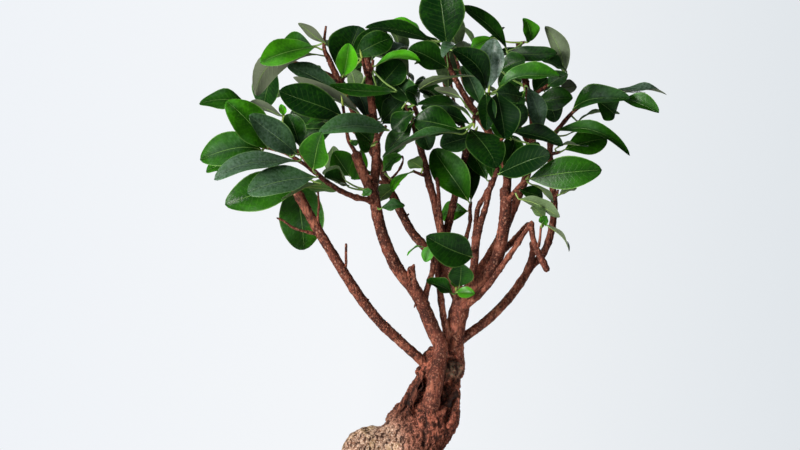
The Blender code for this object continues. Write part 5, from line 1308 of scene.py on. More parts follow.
def blade_position(tree, u, v, thickness, sign):
    """Where a point of a blade lies, from its leaf's own attributes."""
    named, product, plus = partial(attribute, tree), partial(times, tree), partial(times_plus, tree)
    minus, power = partial(less, tree), partial(math_node, tree, "POWER")
    sine, cosine = partial(math_node, tree, "SINE"), partial(math_node, tree, "COSINE")
    swell = sine(product(power(u, named("belly")), math.pi))
    bell = power(math_node(tree, "MAXIMUM", swell, 0.0), plus(u, -0.34, 0.92))
    half = product(named("half"), bell)
    side = math_node(tree, "ABSOLUTE", v)
    length, fold = named("length"), named("fold")
    hump = product(u, minus(1.0, u), 4.0)
    swing = sine(product(u, 2 * math.pi))
    rise = plus(product(named("arch"), length), hump, product(named("sway"), length, swing))
    lift = product(half, power(side, 1.35), sine(fold))
    lift = plus(product(half, named("curl")), power(side, 3.0), lift)
    ripple = sine(plus(u, 9.5, plus(v, 1.3, named("phase"))))
    lift = plus(product(named("wave"), bell), product(power(side, 2.0), ripple), lift)
    rim = minus(1.0, power(side, 4.0))
    lift = plus(product(thickness, sign * 0.5, rim), power(bell, 0.5), lift)
    out = product(half, v, cosine(fold))
    angle = plus(named("twist"), plus(u, 2.0, -1.0), named("roll"))
    turn_cosine, turn_sine = cosine(angle), sine(angle)
    level = minus(product(out, turn_cosine), product(lift, turn_sine))
    level = plus(product(named("bend"), length), hump, level)
    rise = math_node(tree, "ADD", rise, plus(out, turn_sine, product(lift, turn_cosine)))
    run, across, face = (
        scaled(tree, named(name, "FLOAT_VECTOR"), reach)
        for name, reach in (("run", u), ("across", level), ("face", rise))
    )
    place = vector_node(tree, "ADD", named("base", "FLOAT_VECTOR"), run)
    return vector_node(tree, "ADD", place, vector_node(tree, "ADD", across, face))


# What a line or point of a shoot stands for, and the kinds' middle values that tell them apart.
BLADE, STALK, TWIG = 0.0, 1.0, 2.0


def foliage_tree(top, under, stalk, bark):
    """Blades on the single points, tubes along the lines."""
    tree, given, result = new_tree(
        "Foliage",
        ("Blade thickness", "NodeSocketFloat", 0.0005),
        ("Points along a blade", "NodeSocketInt", 17),
        ("Points across a blade", "NodeSocketInt", 9),
        ("Tube sides", "NodeSocketInt", 8),
        ("Tube step", "NodeSocketFloat", 0.0012),
    )
    shoot, thickness, lengthwise, crosswise, sides, spacing = given.outputs[:6]
    kind = attribute(tree, "kind")
    is_line, is_wood = compared(tree, kind, (BLADE + STALK) / 2), compared(tree, kind, (STALK + TWIG) / 2)
    is_blade = compared(tree, kind, (BLADE + STALK) / 2, "LESS_THAN")
    grid = wire(tree, "GeometryNodeMeshGrid", {0: 1.0, 1: 2.0, 2: lengthwise, 3: crosswise}).outputs[0]
    x, y, _ = split(tree, position(tree))
    even = math_node(tree, "ADD", x, 0.5)
    swept = times_plus(tree, math_node(tree, "COSINE", times(tree, even, math.pi)), -0.35, 0.35)
    sheet = kept(tree, grid, "u", times_plus(tree, even, 0.3, swept))
    sheet = kept(tree, sheet, "v", y)
    blades = step(tree, "InstanceOnPoints", shoot, {"Selection": is_blade, "Instance": sheet})
    blades = step(tree, "RealizeInstances", blades)
    u, v = attribute(tree, "u"), attribute(tree, "v")
    faces = []
    for sign, material in ((1, top), (-1, under)):
        where = blade_position(tree, u, v, thickness, sign)
        face = step(tree, "SetPosition", blades, {"Position": where})
        if sign < 0:
            face = step(tree, "FlipFaces", face)
        faces.append(step(tree, "SetMaterial", face, {"Material": material}))
    map_point = wire(tree, "ShaderNodeCombineXYZ", {0: u, 1: times_plus(tree, v, 0.5, 0.5)}).outputs[0]
    whole = kept(tree, joined(tree, *faces), "UVMap", map_point, "FLOAT2", "CORNER")
    whole = step(tree, "MergeByDistance", whole, {"Distance": 0.00002})
    rim = compared(tree, math_node(tree, "ABSOLUTE", v), 0.98)
    whole = step(tree, "SetShadeSmooth", kept(tree, whole, "sharp_edge", rim, "BOOLEAN", "EDGE"))
    lines = curves(tree, shoot, spacing, is_line)
    rough = times_plus(tree, noisy(tree, position(tree), 350.0, 2.0), 0.5, 0.75)
    swell = wire(tree, "GeometryNodeSwitch", {0: is_wood, 1: 1.0, 2: rough}, input_type="FLOAT").outputs[0]
    stems = tubes(tree, lines, sides, times(tree, attribute(tree, "thick"), swell))
    stems = step(tree, "SetMaterial", step(tree, "SetShadeSmooth", stems), {"Material": stalk})
    ended(tree, result, joined(tree, whole, stems), bark, is_wood)
    return tree


class Lines:
    """Points, lines and their attributes, gathered for one geometry tree."""

    def __init__(self):
        self.points, self.edges, self.values = [], [], []

    def point(self, place, **values):
        self.points.append(place)
        self.values.append(values)

    def line(self, places, thicknesses, **values):
        for k, (place, thick) in enumerate(zip(places, thicknesses)):
            if k:
                self.edges.append((len(self.points) - 1, len(self.points)))
            self.point(place, thick=thick, **values)

    def as_object(self, name):
        obj = mesh_object(name, self.points, edges=self.edges)
        for key in sorted({key for values in self.values for key in values}):
            found = [values.get(key) for values in self.values]
            if any(isinstance(value, Vector) for value in found):
                layer = obj.data.attributes.new(key, "FLOAT_VECTOR", "POINT")
                layer.data.foreach_set("vector", [c for value in found for c in (value or (0.0, 0.0, 0.0))])
            else:
                layer = obj.data.attributes.new(key, "FLOAT", "POINT")
                layer.data.foreach_set("value", [value or 0.0 for value in found])
        return obj


def reshaped(leaf, shape):
    """The leaf moved to where its shape says that the picture shows its base and tip."""
    base, tip = leaf.base, leaf.tip
    if "base" in shape:
        base = seen(*shape["base"], base.y / MM)
    if "tip" in shape:
        tip = seen(*shape["tip"], tip.y / MM + shape.get("deep", 0))
    return leaf._replace(base=base, tip=tip, facing=shape.get("facing", leaf.facing),
                         width=shape.get("width", leaf.width / MM) * MM, arch=shape.get("arch", leaf.arch))


def filling(shoots):
    """The extra leaves that find a free place, by shoot."""
    solids = wood_obstacles()
    for name, (path, radii, leaves) in shoots.items():
        solids.append(twig_obstacle(name, path, radii))
        for k, leaf in enumerate(leaves):
            solids += leaf_obstacles(name, reshaped(leaf, LOOKS.get(name, {}).get(k, {})))
    found = {}
    for name, entries in EXTRA.items():
        path, _, leaves = shoots[name]
        for k, entry in enumerate(entries):
            count, leaf = settled(name, first_leaf(path, entry, len(leaves) + k), solids)
            if count:
                left_out(name, "extra", k)
                continue
            found.setdefault(name, []).append(leaf)
            solids += leaf_obstacles(name, leaf)
    return found


# How a leaf's form varies where LOOKS doesn't set it, in the units of LOOKS.
LEAF_FORM = {
    "sway": (-0.025, 0.025), "bend": (-0.02, 0.02), "wave": (0.3, 1.5), "fold": (11, 27),
    "curl": (-0.12, 0.05), "twist": (-14, 14), "belly": (1.08, 1.2),
}
# Where the midrib passes under the blade, and the stalk's radius from its foot to the midrib's end.
RIB_STEPS = (0.12, 0.3, 0.5, 0.7, 0.88)
STALK_TAPER = (1.15, 0.95, 0.85, 0.62, 0.48, 0.36, 0.25, 0.12)


def add_leaf(lines, leaf, shape, draw):
    """One leaf: its blade's attributes on a point, its petiole and midrib as a line."""
    leaf = reshaped(leaf, shape)
    # Each leaf's green tone, which paints its age and the light or shade on it, and its painted grey sheen.
    tone, bloom = draw.uniform(0.05, 0.34), draw.uniform(0.0, 0.12)
    if "youth_and_light" in shape:
        tone, bloom = shape["youth_and_light"], 0.0
    bloom = float(shape.get("bloom", bloom))
    form = {key: draw.uniform(*span) for key, span in LEAF_FORM.items()}
    form = {key: shape.get(key, value) for key, value in {**form, "roll": 0.0}.items()}
    for key in ("fold", "roll", "twist"):
        form[key] = math.radians(form[key])
    form["wave"] *= MM
    run, face = leaf.tip - leaf.base, normal_of(leaf)
    across = face.cross(run).normalized()
    lines.point(
        leaf.base, kind=BLADE, base=leaf.base, run=run, across=across, face=face, length=run.length,
        half=leaf.width / 2 * 1.06, arch=leaf.arch, phase=draw.uniform(0, 6.28), tone=tone, bloom=bloom,
        **form,
    )
    rib = []
    for u in RIB_STEPS:
        hump = 4 * u * (1 - u)
        angle = form["roll"] + form["twist"] * (2 * u - 1)
        under = (face * math.cos(angle) - across * math.sin(angle)) * 0.22 * MM
        rise = run.length * (leaf.arch * hump + form["sway"] * math.sin(2 * math.pi * u))
        rib.append(leaf.base + run * u + face * rise - under + across * form["bend"] * run.length * hump)
    bow = leaf.root.lerp(leaf.base, 0.5) + (leaf.base - leaf.root).length * 0.06 * Vector((0, 0, -1))
    foot = leaf.root + (leaf.root - bow).normalized() * 0.4 * MM
    path = [foot, bow, leaf.base - face * 0.12 * MM] + rib
    lines.line(path, [sizes().petiole * s for s in STALK_TAPER], kind=STALK, tone=tone * 0.6)


def add_bud(lines, path, length):
    """The pointed sheath at a twig's tip."""
    ahead = (path[-1] - path[-2]).normalized() * length * MM
    places, radii = [path[-1] + ahead * s for s in (0.0, 0.3, 0.7, 1.0)], (0.8, 0.85, 0.5, 0.08)
    lines.line(places, [r * MM for r in radii], kind=STALK, tone=0.8)


class FICUS_OT_shoots(Operator):
    """Every leafy shoot: its twig, bud, petioles and blades, one piece for each"""

    bl_idname = "ficus.shoots"
    bl_label = "Leafy shoots"

    def execute(self, context):
        tree = foliage_tree(leaf_top(), leaf_under(), stalk_green(), bpy.data.materials["limb bark"])
        draw = random.Random(LEAF_SEED)
        shoots = laid_out()
        more = filling(shoots)
        for name, (path, radii, leaves) in shoots.items():
            lines = Lines()
            inward = (path[0] - path[1]).normalized() * 1.5 * MM
            lines.line([path[0] + inward] + path, [radii[0] * 1.1] + radii, kind=TWIG)
            if name in BUDS:
                add_bud(lines, path, BUDS[name])
            for k, leaf in enumerate(leaves):
                add_leaf(lines, leaf, LOOKS.get(name, {}).get(k, {}), draw)
            for leaf in more.get(name, ()):
                youth_and_light = 0.9 if leaf.width < 6 * MM else draw.uniform(0.02, 0.2)
                add_leaf(lines, leaf, {"youth_and_light": youth_and_light}, draw)
            piece = grown(lines.as_object("foliage_" + name), tree, {"Blade thickness": sizes().blade})
            placed(piece, "leaf", "shoot_" + name)
        return {"FINISHED"}


def limb_tree(bark):
    """Knobbly tubes along the limbs' middle lines."""
    tree, given, result = new_tree(
        "Limbs",
        ("Step", "NodeSocketFloat", 0.0012),
        ("Sides", "NodeSocketInt", 14),
        ("Knob spacing", "NodeSocketFloat", 0.011),
    )
    limbs, spacing, sides, knob_spacing = given.outputs[:4]
    run = wire(tree, "GeometryNodeSplineParameter").outputs["Length"]
    place, thick = position(tree), attribute(tree, "thick")
    slow = noisy(tree, place, 120.0, 2.0)
    beat = times_plus(tree, slow, 1.2, math_node(tree, "DIVIDE", run, knob_spacing))
    beat = times_plus(tree, math_node(tree, "FRACT", beat), 2.0, -1.0)
    knob = math_node(tree, "POWER", math_node(tree, "ABSOLUTE", beat), 6.0)
    swell = times_plus(tree, slow, 0.30, 0.85)
    swell = times_plus(tree, knob, ranged(tree, thick, 0.0012, 0.0034, 0.30, 0.05), swell)
    rods = tubes(tree, curves(tree, limbs, spacing), sides, times(tree, thick, swell))
    push = times(tree, less(tree, noisy(tree, place, 420.0, 3.0), 0.5), 0.0011)
    out = scaled(tree, wire(tree, "GeometryNodeInputNormal").outputs[0], push)
    rods = step(tree, "SetPosition", rods, {"Offset": out})
    ended(tree, result, step(tree, "SetShadeSmooth", rods), bark)
    return tree


# Stubs of lost twigs and torn ends: (column, row, depth mm, reach across and up in pixels, radius mm)
SPURS = [
    (407, 274, -23, -4, 5, 1.2), (412, 272, -23, 2, 8, 1.5), (409, 276, -25, -1, 7, 1.0),
    (338, 262, -28, -5, -2, 1.3), (365, 304, -24, 4, 5, 0.9), (350, 283, -26, -4, -2, 1.0),
    (418, 300, -18, -4, -8, 0.9), (398, 270, -25, 5, 5, 1.1), (380, 222, -32, -4, 0, 1.0),
    (372, 178, -31, -4, 3, 1.2), (441, 270, 4, 5, 3, 1.0), (404, 218, 12, 5, 4, 0.9),
    (385, 178, 13, -4, 3, 0.9), (458, 318, -4, -3, 4, 1.0), (398, 339, -15, 3, 5, 0.9),
    (311, 214, -29, -5, 3, 1.1),
]


class FICUS_OT_limbs(Operator):
    """The limbs and their stubs, knobbly tubes with a collar where each leaves its parent"""

    bl_idname = "ficus.limbs"
    bl_label = "Limbs"

    def execute(self, context):
        lines = Lines()
        for name in LIMBS:
            path, radii = (list(part) for part in zip(*limb_rings(name)))
            if name in ("main", "front"):
                path, radii = path[1:], radii[1:]
            else:
                radii[0] *= 1.25
            tip = path[-1] + (path[-1] - path[-2]).normalized() * radii[-1] * 0.5
            lines.line(path + [tip], radii + [radii[-1] * 0.55])
        for column, row, depth, aside, up, radius in SPURS:
            foot, top = seen(column, row, depth), seen(column + aside, row - up, depth - 0.5)
            lines.line([foot, foot.lerp(top, 0.6), top], [radius * s * MM for s in (1, 0.8, 0.35)])
        placed(grown(lines.as_object("limbs"), limb_tree(limb_bark()), {}), "bark", "trunk")
        return {"FINISHED"}


# Roots, folds and ridges under the rootstock's one skin: {name: [(column, row, depth mm, radius mm)...]}
ROOTS = {
    "neck": [
        (446, 352, 2, 8.0), (444, 362, 1, 10.4), (438, 379, 0, 12.6), (433, 394, 0, 15.6),
        (430, 408, 0, 18.2), (424, 421, 1, 19.6), (412, 438, 2, 20.5),
    ],
    "bulge": [
        (412, 430, -2, 13.0), (402, 438, -5, 13.5), (388, 446, -6, 13.5), (372, 453, -5, 18.0),
        (366, 472, -4, 20.6), (358, 500, -5, 18.5), (349, 532, -9, 13), (342, 552, -11, 9),
        (339, 562, -12, 7.2),
    ],
    "front_root": [
        (432, 410, -4, 15), (420, 436, -8, 16), (414, 462, -12, 18), (418, 492, -18, 16),
        (428, 524, -26, 11.5), (436, 550, -32, 7.6), (438, 562, -34, 6.2),
    ],
    "back_root": [
        (424, 420, 8, 16), (408, 448, 14, 20), (396, 478, 22, 19), (392, 512, 31, 13), (396, 545, 37, 8),
        (398, 562, 39, 6.2),
    ],
    "side_root": [
        (420, 446, 6, 12), (430, 472, 10, 11), (444, 500, 14, 9), (458, 530, 17, 6.8),
        (466, 552, 19, 5.4), (469, 562, 20, 4.8),
    ],
    "knot": [(446, 372, -4, 8), (452, 369, -7, 6.8), (456, 368, -8, 5.6)],
    "collar": [(440, 350, -2, 6.5), (436, 362, -4, 9), (430, 378, -5, 10)],
    "shoulder": [
        (452, 336, 3, 5.2), (451, 350, 3, 5.6), (450, 368, 2, 7.0), (446, 386, 1, 7.4),
        (443, 403, 0, 9.2), (440, 417, 0, 9.2), (432, 431, 0, 8.8),
    ],
    "left_fold": [
        (431, 354, -4, 3.4), (427, 368, -7, 3.8), (421, 381, -9, 3.8), (412, 394, -11, 4.0),
        (405, 407, -12, 4.4), (399, 418, -12, 5.2),
    ],
    "inner_fold": [
        (424, 372, -13, 2.3), (419, 388, -17, 2.2), (413, 402, -19, 2.4), (407, 413, -19, 3.2),
    ],
    "right_fold": [(459, 378, -9, 2.4), (453, 391, -15, 2.3), (445, 402, -19, 2.5), (439, 412, -20, 3.4)],
    "right_rib": [(458, 380, -9, 1.8), (457, 396, -14, 2.0), (455, 412, -17, 2.2), (449, 428, -18, 2.6)],
    "right_swell": [(451, 388, -5, 3.4), (452, 404, -8, 4.2), (449, 417, -9, 4.4), (439, 432, -10, 4.8)],
    "stem_foot": [
        (432, 403, -20, 5.4), (430, 411, -18, 8.0), (429, 421, -15, 11.0), (428, 434, -12, 13.0),
    ],
    "cut_knot": [(452, 370, -6, 7.2), (454, 369, -9, 6.4), (455, 368, -10.5, 5.0)],
}
# Hollows, dug into the skin and painted with shade: (column, row, depth mm) of both ends, how wide and how
# deep in mm.
HOLLOWS = [
    ((412, 384, -14), (403, 408, -17), 3.4, 6.0),
    ((422, 380, -17), (417, 407, -22), 3.0, 6.5),
    ((449, 386, -14), (443, 399, -20), 3.4, 6.5),
    ((440, 402, -23), (436, 409, -24), 1.8, 2.0),
    ((425, 421, -24), (424, 446, -26), 1.3, 1.6),
    ((448, 410, -16), (438, 442, -22), 1.2, 1.4),
]
# Where the bark is pale and where the old cut shows: (column, row, depth mm, reach mm)
PALE_BARK = [
    (362, 446, -14, 19), (380, 436, -18, 9), (356, 486, -10, 30), (390, 446, -22, 7), (340, 540, -10, 30),
]
CUT_BARK = [(454, 368, -13, 7)]


def smooth_line(rings, steps):
    """More rings along the same curve."""
    found, last = [], len(rings) - 1
    for k in range(last):
        p0, p1, p2, p3 = (Vector(rings[min(max(i, 0), last)]) for i in (k - 1, k, k + 1, k + 2))
        for j in range(steps):
            t = j / steps
            found.append(0.5 * (2 * p1 + (p2 - p0) * t + (2 * p0 - 5 * p1 + 4 * p2 - p3) * t * t
                                + (3 * p1 - p0 - 3 * p2 + p3) * t * t * t))
    return found + [Vector(rings[-1])]


# Steps from one ring of a root to the next, the sides of its tube, and the skin's cells in metres.
ROOT_STEPS, ROOT_SIDES, SKIN_CELL = 4, 28, 0.00073


def root_tube(rings, sunk, shift):
    """An uneven tube along a root or ridge; a sunk one ends in a peg below the soil."""
    line = smooth_line([(*seen(*r[:3]), r[3] * MM) for r in rings], ROOT_STEPS)
    places, radii = [r.to_3d() for r in line], [r[3] for r in line]
    if sunk:
        places.append(Vector((places[-1].x, places[-1].y, PEG_FOOT * MM + 0.004)))
        radii.append(radii[-1])
    solid, faces = tube(places, radii, ROOT_SIDES)
    moved = []
    for k, p in enumerate(solid):
        middle = places[min(k // ROOT_SIDES, len(places) - 1)]
        broad = noise.noise(p * 45 + Vector((shift, 0, 0)))
        fine = noise.noise(p * 120 + Vector((0, shift, 0)))
        moved.append(middle + (p - middle) * (1 + 0.10 * broad + 0.05 * fine))
    return moved, faces


class FICUS_OT_rootstock(Operator):
    """The swollen roots and the foot of the main stem, one skin with furrows and hollows"""

    bl_idname = "ficus.rootstock"
    bl_label = "Rootstock"

    def execute(self, context):
        points, faces = [], []
        for k, (name, rings) in enumerate(ROOTS.items()):
            places, sides = root_tube(rings, name in ROOT_ENDS, k * 3.7)
            faces += [[i + len(points) for i in face] for face in sides]
            points += places
        obj = mesh_object("rootstock", points, faces)
        skin = obj.modifiers.new("skin", "REMESH")
        skin.mode = "VOXEL"
        skin.voxel_size = SKIN_CELL
        obj.modifiers.new("soft", "SMOOTH").iterations = 2
        made_plain(obj)
        carve(obj)
        obj.data.shade_smooth()
        obj.data.materials.append(root_bark())
        placed(obj, "bark", "trunk")
        return {"FINISHED"}


def near_line(p, a, b):
    """How far a point is from the line between two others."""
    t = min(1.0, max(0.0, (p - a).dot(b - a) / (b - a).length_squared))
    return (p - a - (b - a) * t).length


def nearness(p, spots, edge):
    """How much of the spots' bark shows at a point; a higher edge ends a spot more sharply."""
    return min(1.0, sum(math.exp(-((p - place).length / reach) ** edge) for place, reach in spots))


def carve(obj):
    """Ridges, furrows and hollows in the skin, and what the bark's colour reads of them: painted shade in the
    hollows and furrows, painted light on the ridges, and where the bark is pale or cut.
    """
    noise.seed_set(BARK_SEED)
    mesh, relief = obj.data, sizes().bark
    hollows = [(seen(*a), seen(*b), wide * MM, deep * MM) for a, b, wide, deep in HOLLOWS]
    pales, cuts = ([(seen(*c[:3]), c[3] * MM) for c in spots] for spots in (PALE_BARK, CUT_BARK))
    marks, places = {"groove": [], "crest": [], "pale": [], "knot": []}, []
    for vertex in mesh.vertices:
        p = vertex.co
        pale, cut = nearness(p, pales, 2), nearness(p, cuts, 4)
        warp = noise.noise_vector(p * 70) * 0.9
        long_way = Vector((p.x * 190 + p.z * 45, p.y * 190, p.z * 50)) + warp
        ridge = 1 - 2.2 * abs(noise.noise(long_way))
        worm = 1 - 2.4 * abs(noise.noise(p * 190 + noise.noise_vector(p * 110) * 1.6))
        low = min(1.0, max(0.0, (0.205 - p.z) / 0.02))
        wrinkle = ridge * (1 - 0.7 * low) + worm * 0.7 * low
        fine, broad = noise.noise(p * 520), noise.noise(p * 60)
        rough = (1 - 0.72 * pale) * (1 - 0.6 * cut)
        push = relief * (1.05 * (wrinkle - 0.45) * rough + 0.34 * fine * (1 - 0.3 * pale) + 0.4 * broad)
        deep = 0.0
        for a, b, wide, depth in hollows:
            near = math.exp(-(near_line(p, a, b) / wide) ** 2)
            push -= depth * near
            deep += near * min(1.0, depth / MM / 3)
        # Painted shade for the hollows and for the furrows between the ridges.
        marks["groove"].append(min(1.0, deep * 1.1 + max(0.0, 0.05 - wrinkle) * 1.2 * rough))
        # Painted light and shade from the ridges' height: pale on the ridges, dark in the furrows.
        marks["crest"].append(min(1.0, max(0.0, 0.16 + 0.58 * wrinkle + 0.6 * fine)))
        marks["pale"].append(pale)
        marks["knot"].append(cut)
        places.append(p + vertex.normal * push)
    for vertex, place in zip(mesh.vertices, places):
        vertex.co = place
    for name, values in marks.items():
        mesh.attributes.new(name, "FLOAT", "POINT").data.foreach_set("value", values)


def revolved(name, outline, sides):
    """A closed body turned round Z from (radius, height) points in mm that start and end on the axis."""
    points, faces = [Vector((0, 0, outline[0][1] * MM))], []
    for radius, height in outline[1:-1]:
        for k in range(sides):
            angle = 2 * math.pi * k / sides
            points.append(Vector((radius * math.cos(angle), radius * math.sin(angle), height)) * MM)
    points.append(Vector((0, 0, outline[-1][1] * MM)))
    last = len(points) - 1 - sides
    for k in range(sides):
        after = (k + 1) % sides
        faces += [[0, 1 + after, 1 + k], [len(points) - 1, last + k, last + after]]
        for a in range(1, last, sides):
            faces.append([a + k, a + after, a + sides + after, a + sides + k])
    return mesh_object(name, points, faces)


# The pot's outline from its foot over the rim to its floor: (radius, height) in mm
POT_OUTLINE = [
    (0, 0.6), (46, 0.6), (47.5, 0), (52, 0), (53.4, 0.5), (54, 1.5), (60, 35), (66, 68), (71.5, 98),
    (72.2, 98.6), (74.2, 99), (74.9, 100), (75, 101), (75, 107.8), (74.8, 109), (74, 110.1), (73, 110.5),
    (71.6, 110.5), (70.9, 110.2), (70.6, 109.6), (69.6, 98), (60.5, 50), (52.4, 9), (51.4, 8.1), (50.6, 8),
    (0, 8),
]
# The drain holes: degrees round the pot, how far from its axis and how wide in mm
HOLE_TURNS, HOLE_RING, HOLE_WIDTH = (45, 135, 225, 315), 32, 8
POT_SIDES, HOLE_SIDES, SOIL_SIDES = 128, 24, 96


class FICUS_OT_pot(Operator):
    """The plain tapered pot with its rolled rim and drain holes"""

    bl_idname = "ficus.pot"
    bl_label = "Pot"

    def execute(self, context):
        obj = revolved("pot_wall", POT_OUTLINE, POT_SIDES)
        drills = bpy.data.collections.new("drain holes")
        context.scene.collection.children.link(drills)
        for turn in HOLE_TURNS:
            angle = math.radians(turn)
            across, aside = math.cos(angle) * HOLE_RING, math.sin(angle) * HOLE_RING
            ends = [Vector((across, aside, z)) * MM for z in (-5, 14)]
            drill = mesh_object("drill", *tube(ends, [HOLE_WIDTH / 2 * MM] * 2, HOLE_SIDES))
            context.scene.collection.objects.unlink(drill)
            drills.objects.link(drill)
        cut = obj.modifiers.new("holes", "BOOLEAN")
        cut.operation = "DIFFERENCE"
        cut.operand_type = "COLLECTION"
        cut.collection = drills
        made_plain(obj)
        for drill in list(drills.objects):
            bpy.data.objects.remove(drill)
        bpy.data.collections.remove(drills)
        obj.data.shade_smooth()
        obj.data.set_sharp_from_angle(angle=math.radians(50))
        obj.data.materials.append(pot_glaze())
        placed(obj, "pot", "pot")
        return {"FINISHED"}


def drawn(tree, seed, low, high):
    """A vector drawn at random for each point."""
    links = {0: low, 1: high, "Seed": seed}
    return wire(tree, "FunctionNodeRandomValue", links, data_type="FLOAT_VECTOR").outputs[0]


def crumb_tree(material):
    """Crumbs scattered on the soil's upper face."""
    tree, given, result = new_tree(
        "Soil crumbs",
        ("Crumb", "NodeSocketFloat", 0.0012),
        ("Density", "NodeSocketFloat", 170000.0),
        ("Seed", "NodeSocketInt", 3),
    )
    bed, crumb, density, seed = given.outputs[:4]
    up = split(tree, wire(tree, "GeometryNodeInputNormal").outputs[0])[2]
    where = {"Selection": compared(tree, up, 0.5), "Density": density, "Seed": seed}
    spots = step(tree, "DistributePointsOnFaces", bed, where)
    ball = wire(tree, "GeometryNodeMeshIcoSphere", {"Radius": 1.0, "Subdivisions": 1}).outputs[0]
    size = wire(tree, "FunctionNodeRandomValue", {2: 0.35, 3: 1.5, "Seed": 4}, data_type="FLOAT").outputs[1]
    squash = drawn(tree, 5, (0.7, 0.5, 0.4), (1.3, 1.0, 0.9))
    form = {
        "Instance": ball, "Rotation": drawn(tree, 6, (0, 0, 0), (6.28, 6.28, 6.28)),
        "Scale": scaled(tree, squash, times(tree, size, crumb)),
    }
    crumbs = step(tree, "RealizeInstances", step(tree, "InstanceOnPoints", spots, form))
    lump = wire(tree, "ShaderNodeTexNoise", {"Vector": position(tree), "Scale": 900.0}).outputs["Color"]
    push = scaled(tree, vector_node(tree, "SUBTRACT", lump, (0.5, 0.5, 0.5)), 0.0009)
    crumbs = step(tree, "SetPosition", crumbs, {"Offset": push})
    ended(tree, result, joined(tree, bed, crumbs), material)
    return tree


class FICUS_OT_soil(Operator):
    """The soil: a closed body with an uneven crumbly top"""

    bl_idname = "ficus.soil"
    bl_label = "Soil"

    def execute(self, context):
        outline = [(0, SOIL_FLOOR), (51.2, SOIL_FLOOR), (69.1, SOIL_TOP - 1.4)]
        outline += [(r, SOIL_TOP - 1.2 + 1.1 * (1 - (r / 69) ** 4)) for r in (*range(66, 2, -3), 0)]
        obj = revolved("soil_bed", outline, SOIL_SIDES)
        for vertex in obj.data.vertices:
            p = vertex.co
            if p.z > 0.09 and math.hypot(p.x, p.y) < 0.068:
                vertex.co.z += 0.0009 * noise.noise(p * 110) + 0.0004 * noise.noise(p * 420)
        given = {"Crumb": sizes().crumb, "Density": float(sizes().crumbs)}
        placed(grown(obj, crumb_tree(soil_crumb()), given), "soil", "soil")
        return {"FINISHED"}


# name, place, target, size in m, power in W, tint and spread in degrees
LIGHTS = [
    ("window", (-1.40, -1.36, 0.62), (0, 0, 0.32), 0.9, 58, (1.0, 0.98, 0.95), 180),
    ("sky", (-0.6, -0.9, 1.9), (0, 0, 0.35), 1.2, 7, (0.95, 0.98, 1.0), 180),
    ("neck fill", (0.72, -1.24, 0.20), (0.038, 0, 0.230), 0.10, 0.012, (1.0, 0.96, 0.92), 4.4),
    ("back", (0.6, 1.9, 0.9), (0, 0, 0.32), 1.2, 15, (0.95, 0.98, 1.0), 180),
]


def area_light(name, place, target, size, power, tint, spread):
    light = bpy.data.lights.new(name, "AREA")
    light.shape = "DISK"
    light.size = size
    light.energy = power
    light.color = tint
    light.spread = math.radians(spread)
    lamp = bpy.data.objects.new(name, light)
    lamp.location = place
    lamp.rotation_euler = (Vector(target) - Vector(place)).to_track_quat("-Z", "Y").to_euler()
    bpy.context.scene.collection.objects.link(lamp)


def pale_floor():
    """A floor that is nearly as pale as the backdrop and fades into it at its rim."""
    made, tree, place = surface("pale floor", 0.85, 0.1)
    shader = tree.nodes["Principled BSDF"]
    shader.inputs["Base Color"].default_value = (0.84, 0.86, 0.88, 1.0)
    direct = wire(tree, "ShaderNodeLightPath").outputs["Is Camera Ray"]
    glow = wire(tree, "ShaderNodeEmission", {"Color": (0.87, 0.90, 0.93, 1.0), "Strength": 1.0}).outputs[0]
    gone = wire(tree, "ShaderNodeBsdfTransparent").outputs[0]
    lit = {0: times(tree, direct, 0.55), 1: shader.outputs[0], 2: glow}
    lit = wire(tree, "ShaderNodeMixShader", lit).outputs[0]
    far = ranged(tree, vector_node(tree, "LENGTH", place), 0.75, 1.45)
    faded = wire(tree, "ShaderNodeMixShader", {0: far, 1: lit, 2: gone}).outputs[0]
    tree.links.new(faded, tree.nodes["Material Output"].inputs["Surface"])
    return made


def pale_world():
    """A backdrop that is a little darker to the right, and a faint light from all round."""
    world = bpy.data.worlds.new("pale studio")
    world.use_nodes = True
    tree = world.node_tree
    sky = tree.nodes["Background"]
    way = split(tree, wire(tree, "ShaderNodeTexCoord").outputs["Generated"])[0]
    shade = ramp(
        tree, ranged(tree, way, -0.18, 0.18), (0.0, (0.865, 0.895, 0.935)), (0.45, (0.905, 0.925, 0.950)),
        (1.0, (0.745, 0.785, 0.820)),
    )
    tree.links.new(shade, sky.inputs["Color"])
    direct = wire(tree, "ShaderNodeLightPath").outputs["Is Camera Ray"]
    tree.links.new(ranged(tree, direct, 0.0, 1.0, 0.055, 1.0), sky.inputs["Strength"])
    return world


# The floor's radius in mm and its sides, and the camera's sensor in mm.
FLOOR_RADIUS, FLOOR_SIDES, SENSOR_WIDTH = 1500, 96, 36


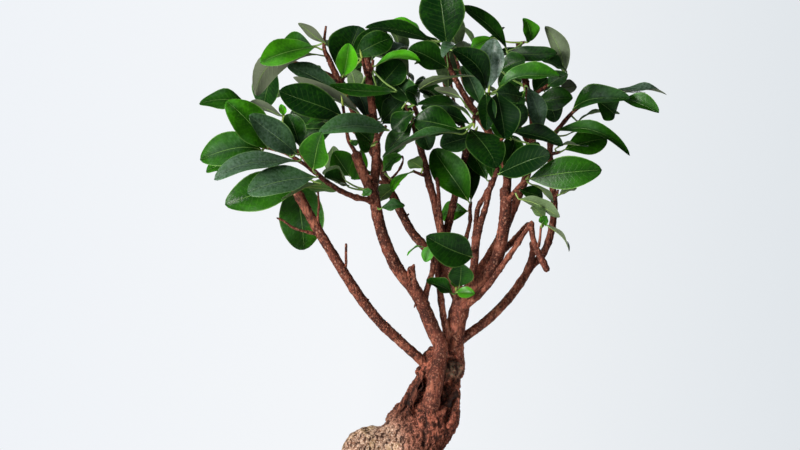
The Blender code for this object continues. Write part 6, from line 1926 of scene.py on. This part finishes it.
class FICUS_OT_stage(Operator):
    """Pale floor and backdrop, soft window light from the upper left, and the camera"""

    bl_idname = "ficus.stage"
    bl_label = "Studio"

    def execute(self, context):
        scene = context.scene
        scene.view_settings.view_transform = "Standard"
        scene.world = pale_world()
        outline = [(0, -2), (FLOOR_RADIUS, -2), (FLOOR_RADIUS, 0), (0, 0)]
        floor = revolved("floor", outline, FLOOR_SIDES)
        floor.data.materials.append(pale_floor())
        for light in LIGHTS:
            area_light(*light)
        camera = bpy.data.cameras.new("picture")
        camera.sensor_width = SENSOR_WIDTH
        camera.lens = SENSOR_WIDTH * EYE_DISTANCE / (2 * PICTURE_CENTRE[0] * PIXEL)
        view = bpy.data.objects.new("picture", camera)
        view.location = EYE
        view.rotation_euler = (math.radians(90), 0, 0)
        scene.collection.objects.link(view)
        scene.camera = view
        return {"FINISHED"}


class FICUS_PT_panel(Panel):
    """Lists the pieces, their sizes and their colours"""

    bl_label = "Ginseng ficus"
    bl_idname = "FICUS_PT_panel"
    bl_space_type = "VIEW_3D"
    bl_region_type = "UI"
    bl_category = "Ficus"

    def draw(self, context):
        for operator in STEPS:
            self.layout.operator(operator.bl_idname)
        for group in (context.scene.ficus_sizes, context.scene.ficus_colours):
            box = self.layout.box()
            for name in group.__annotations__:
                box.prop(group, name)


STEPS = (FICUS_OT_pot, FICUS_OT_soil, FICUS_OT_limbs, FICUS_OT_rootstock, FICUS_OT_shoots, FICUS_OT_stage)
CLASSES = (FicusSizes, FicusColours, *STEPS, FICUS_PT_panel)


def register():
    for cls in CLASSES:
        bpy.utils.register_class(cls)
    bpy.types.Scene.ficus_sizes = PointerProperty(type=FicusSizes)
    bpy.types.Scene.ficus_colours = PointerProperty(type=FicusColours)


def unregister():
    del bpy.types.Scene.ficus_colours
    del bpy.types.Scene.ficus_sizes
    for cls in reversed(CLASSES):
        bpy.utils.unregister_class(cls)


def main():
    register()
    bpy.ops.ficus.pot()
    bpy.ops.ficus.soil()
    bpy.ops.ficus.limbs()
    bpy.ops.ficus.rootstock()
    bpy.ops.ficus.shoots()
    bpy.ops.ficus.stage()


if __name__ == "__main__":
    main()
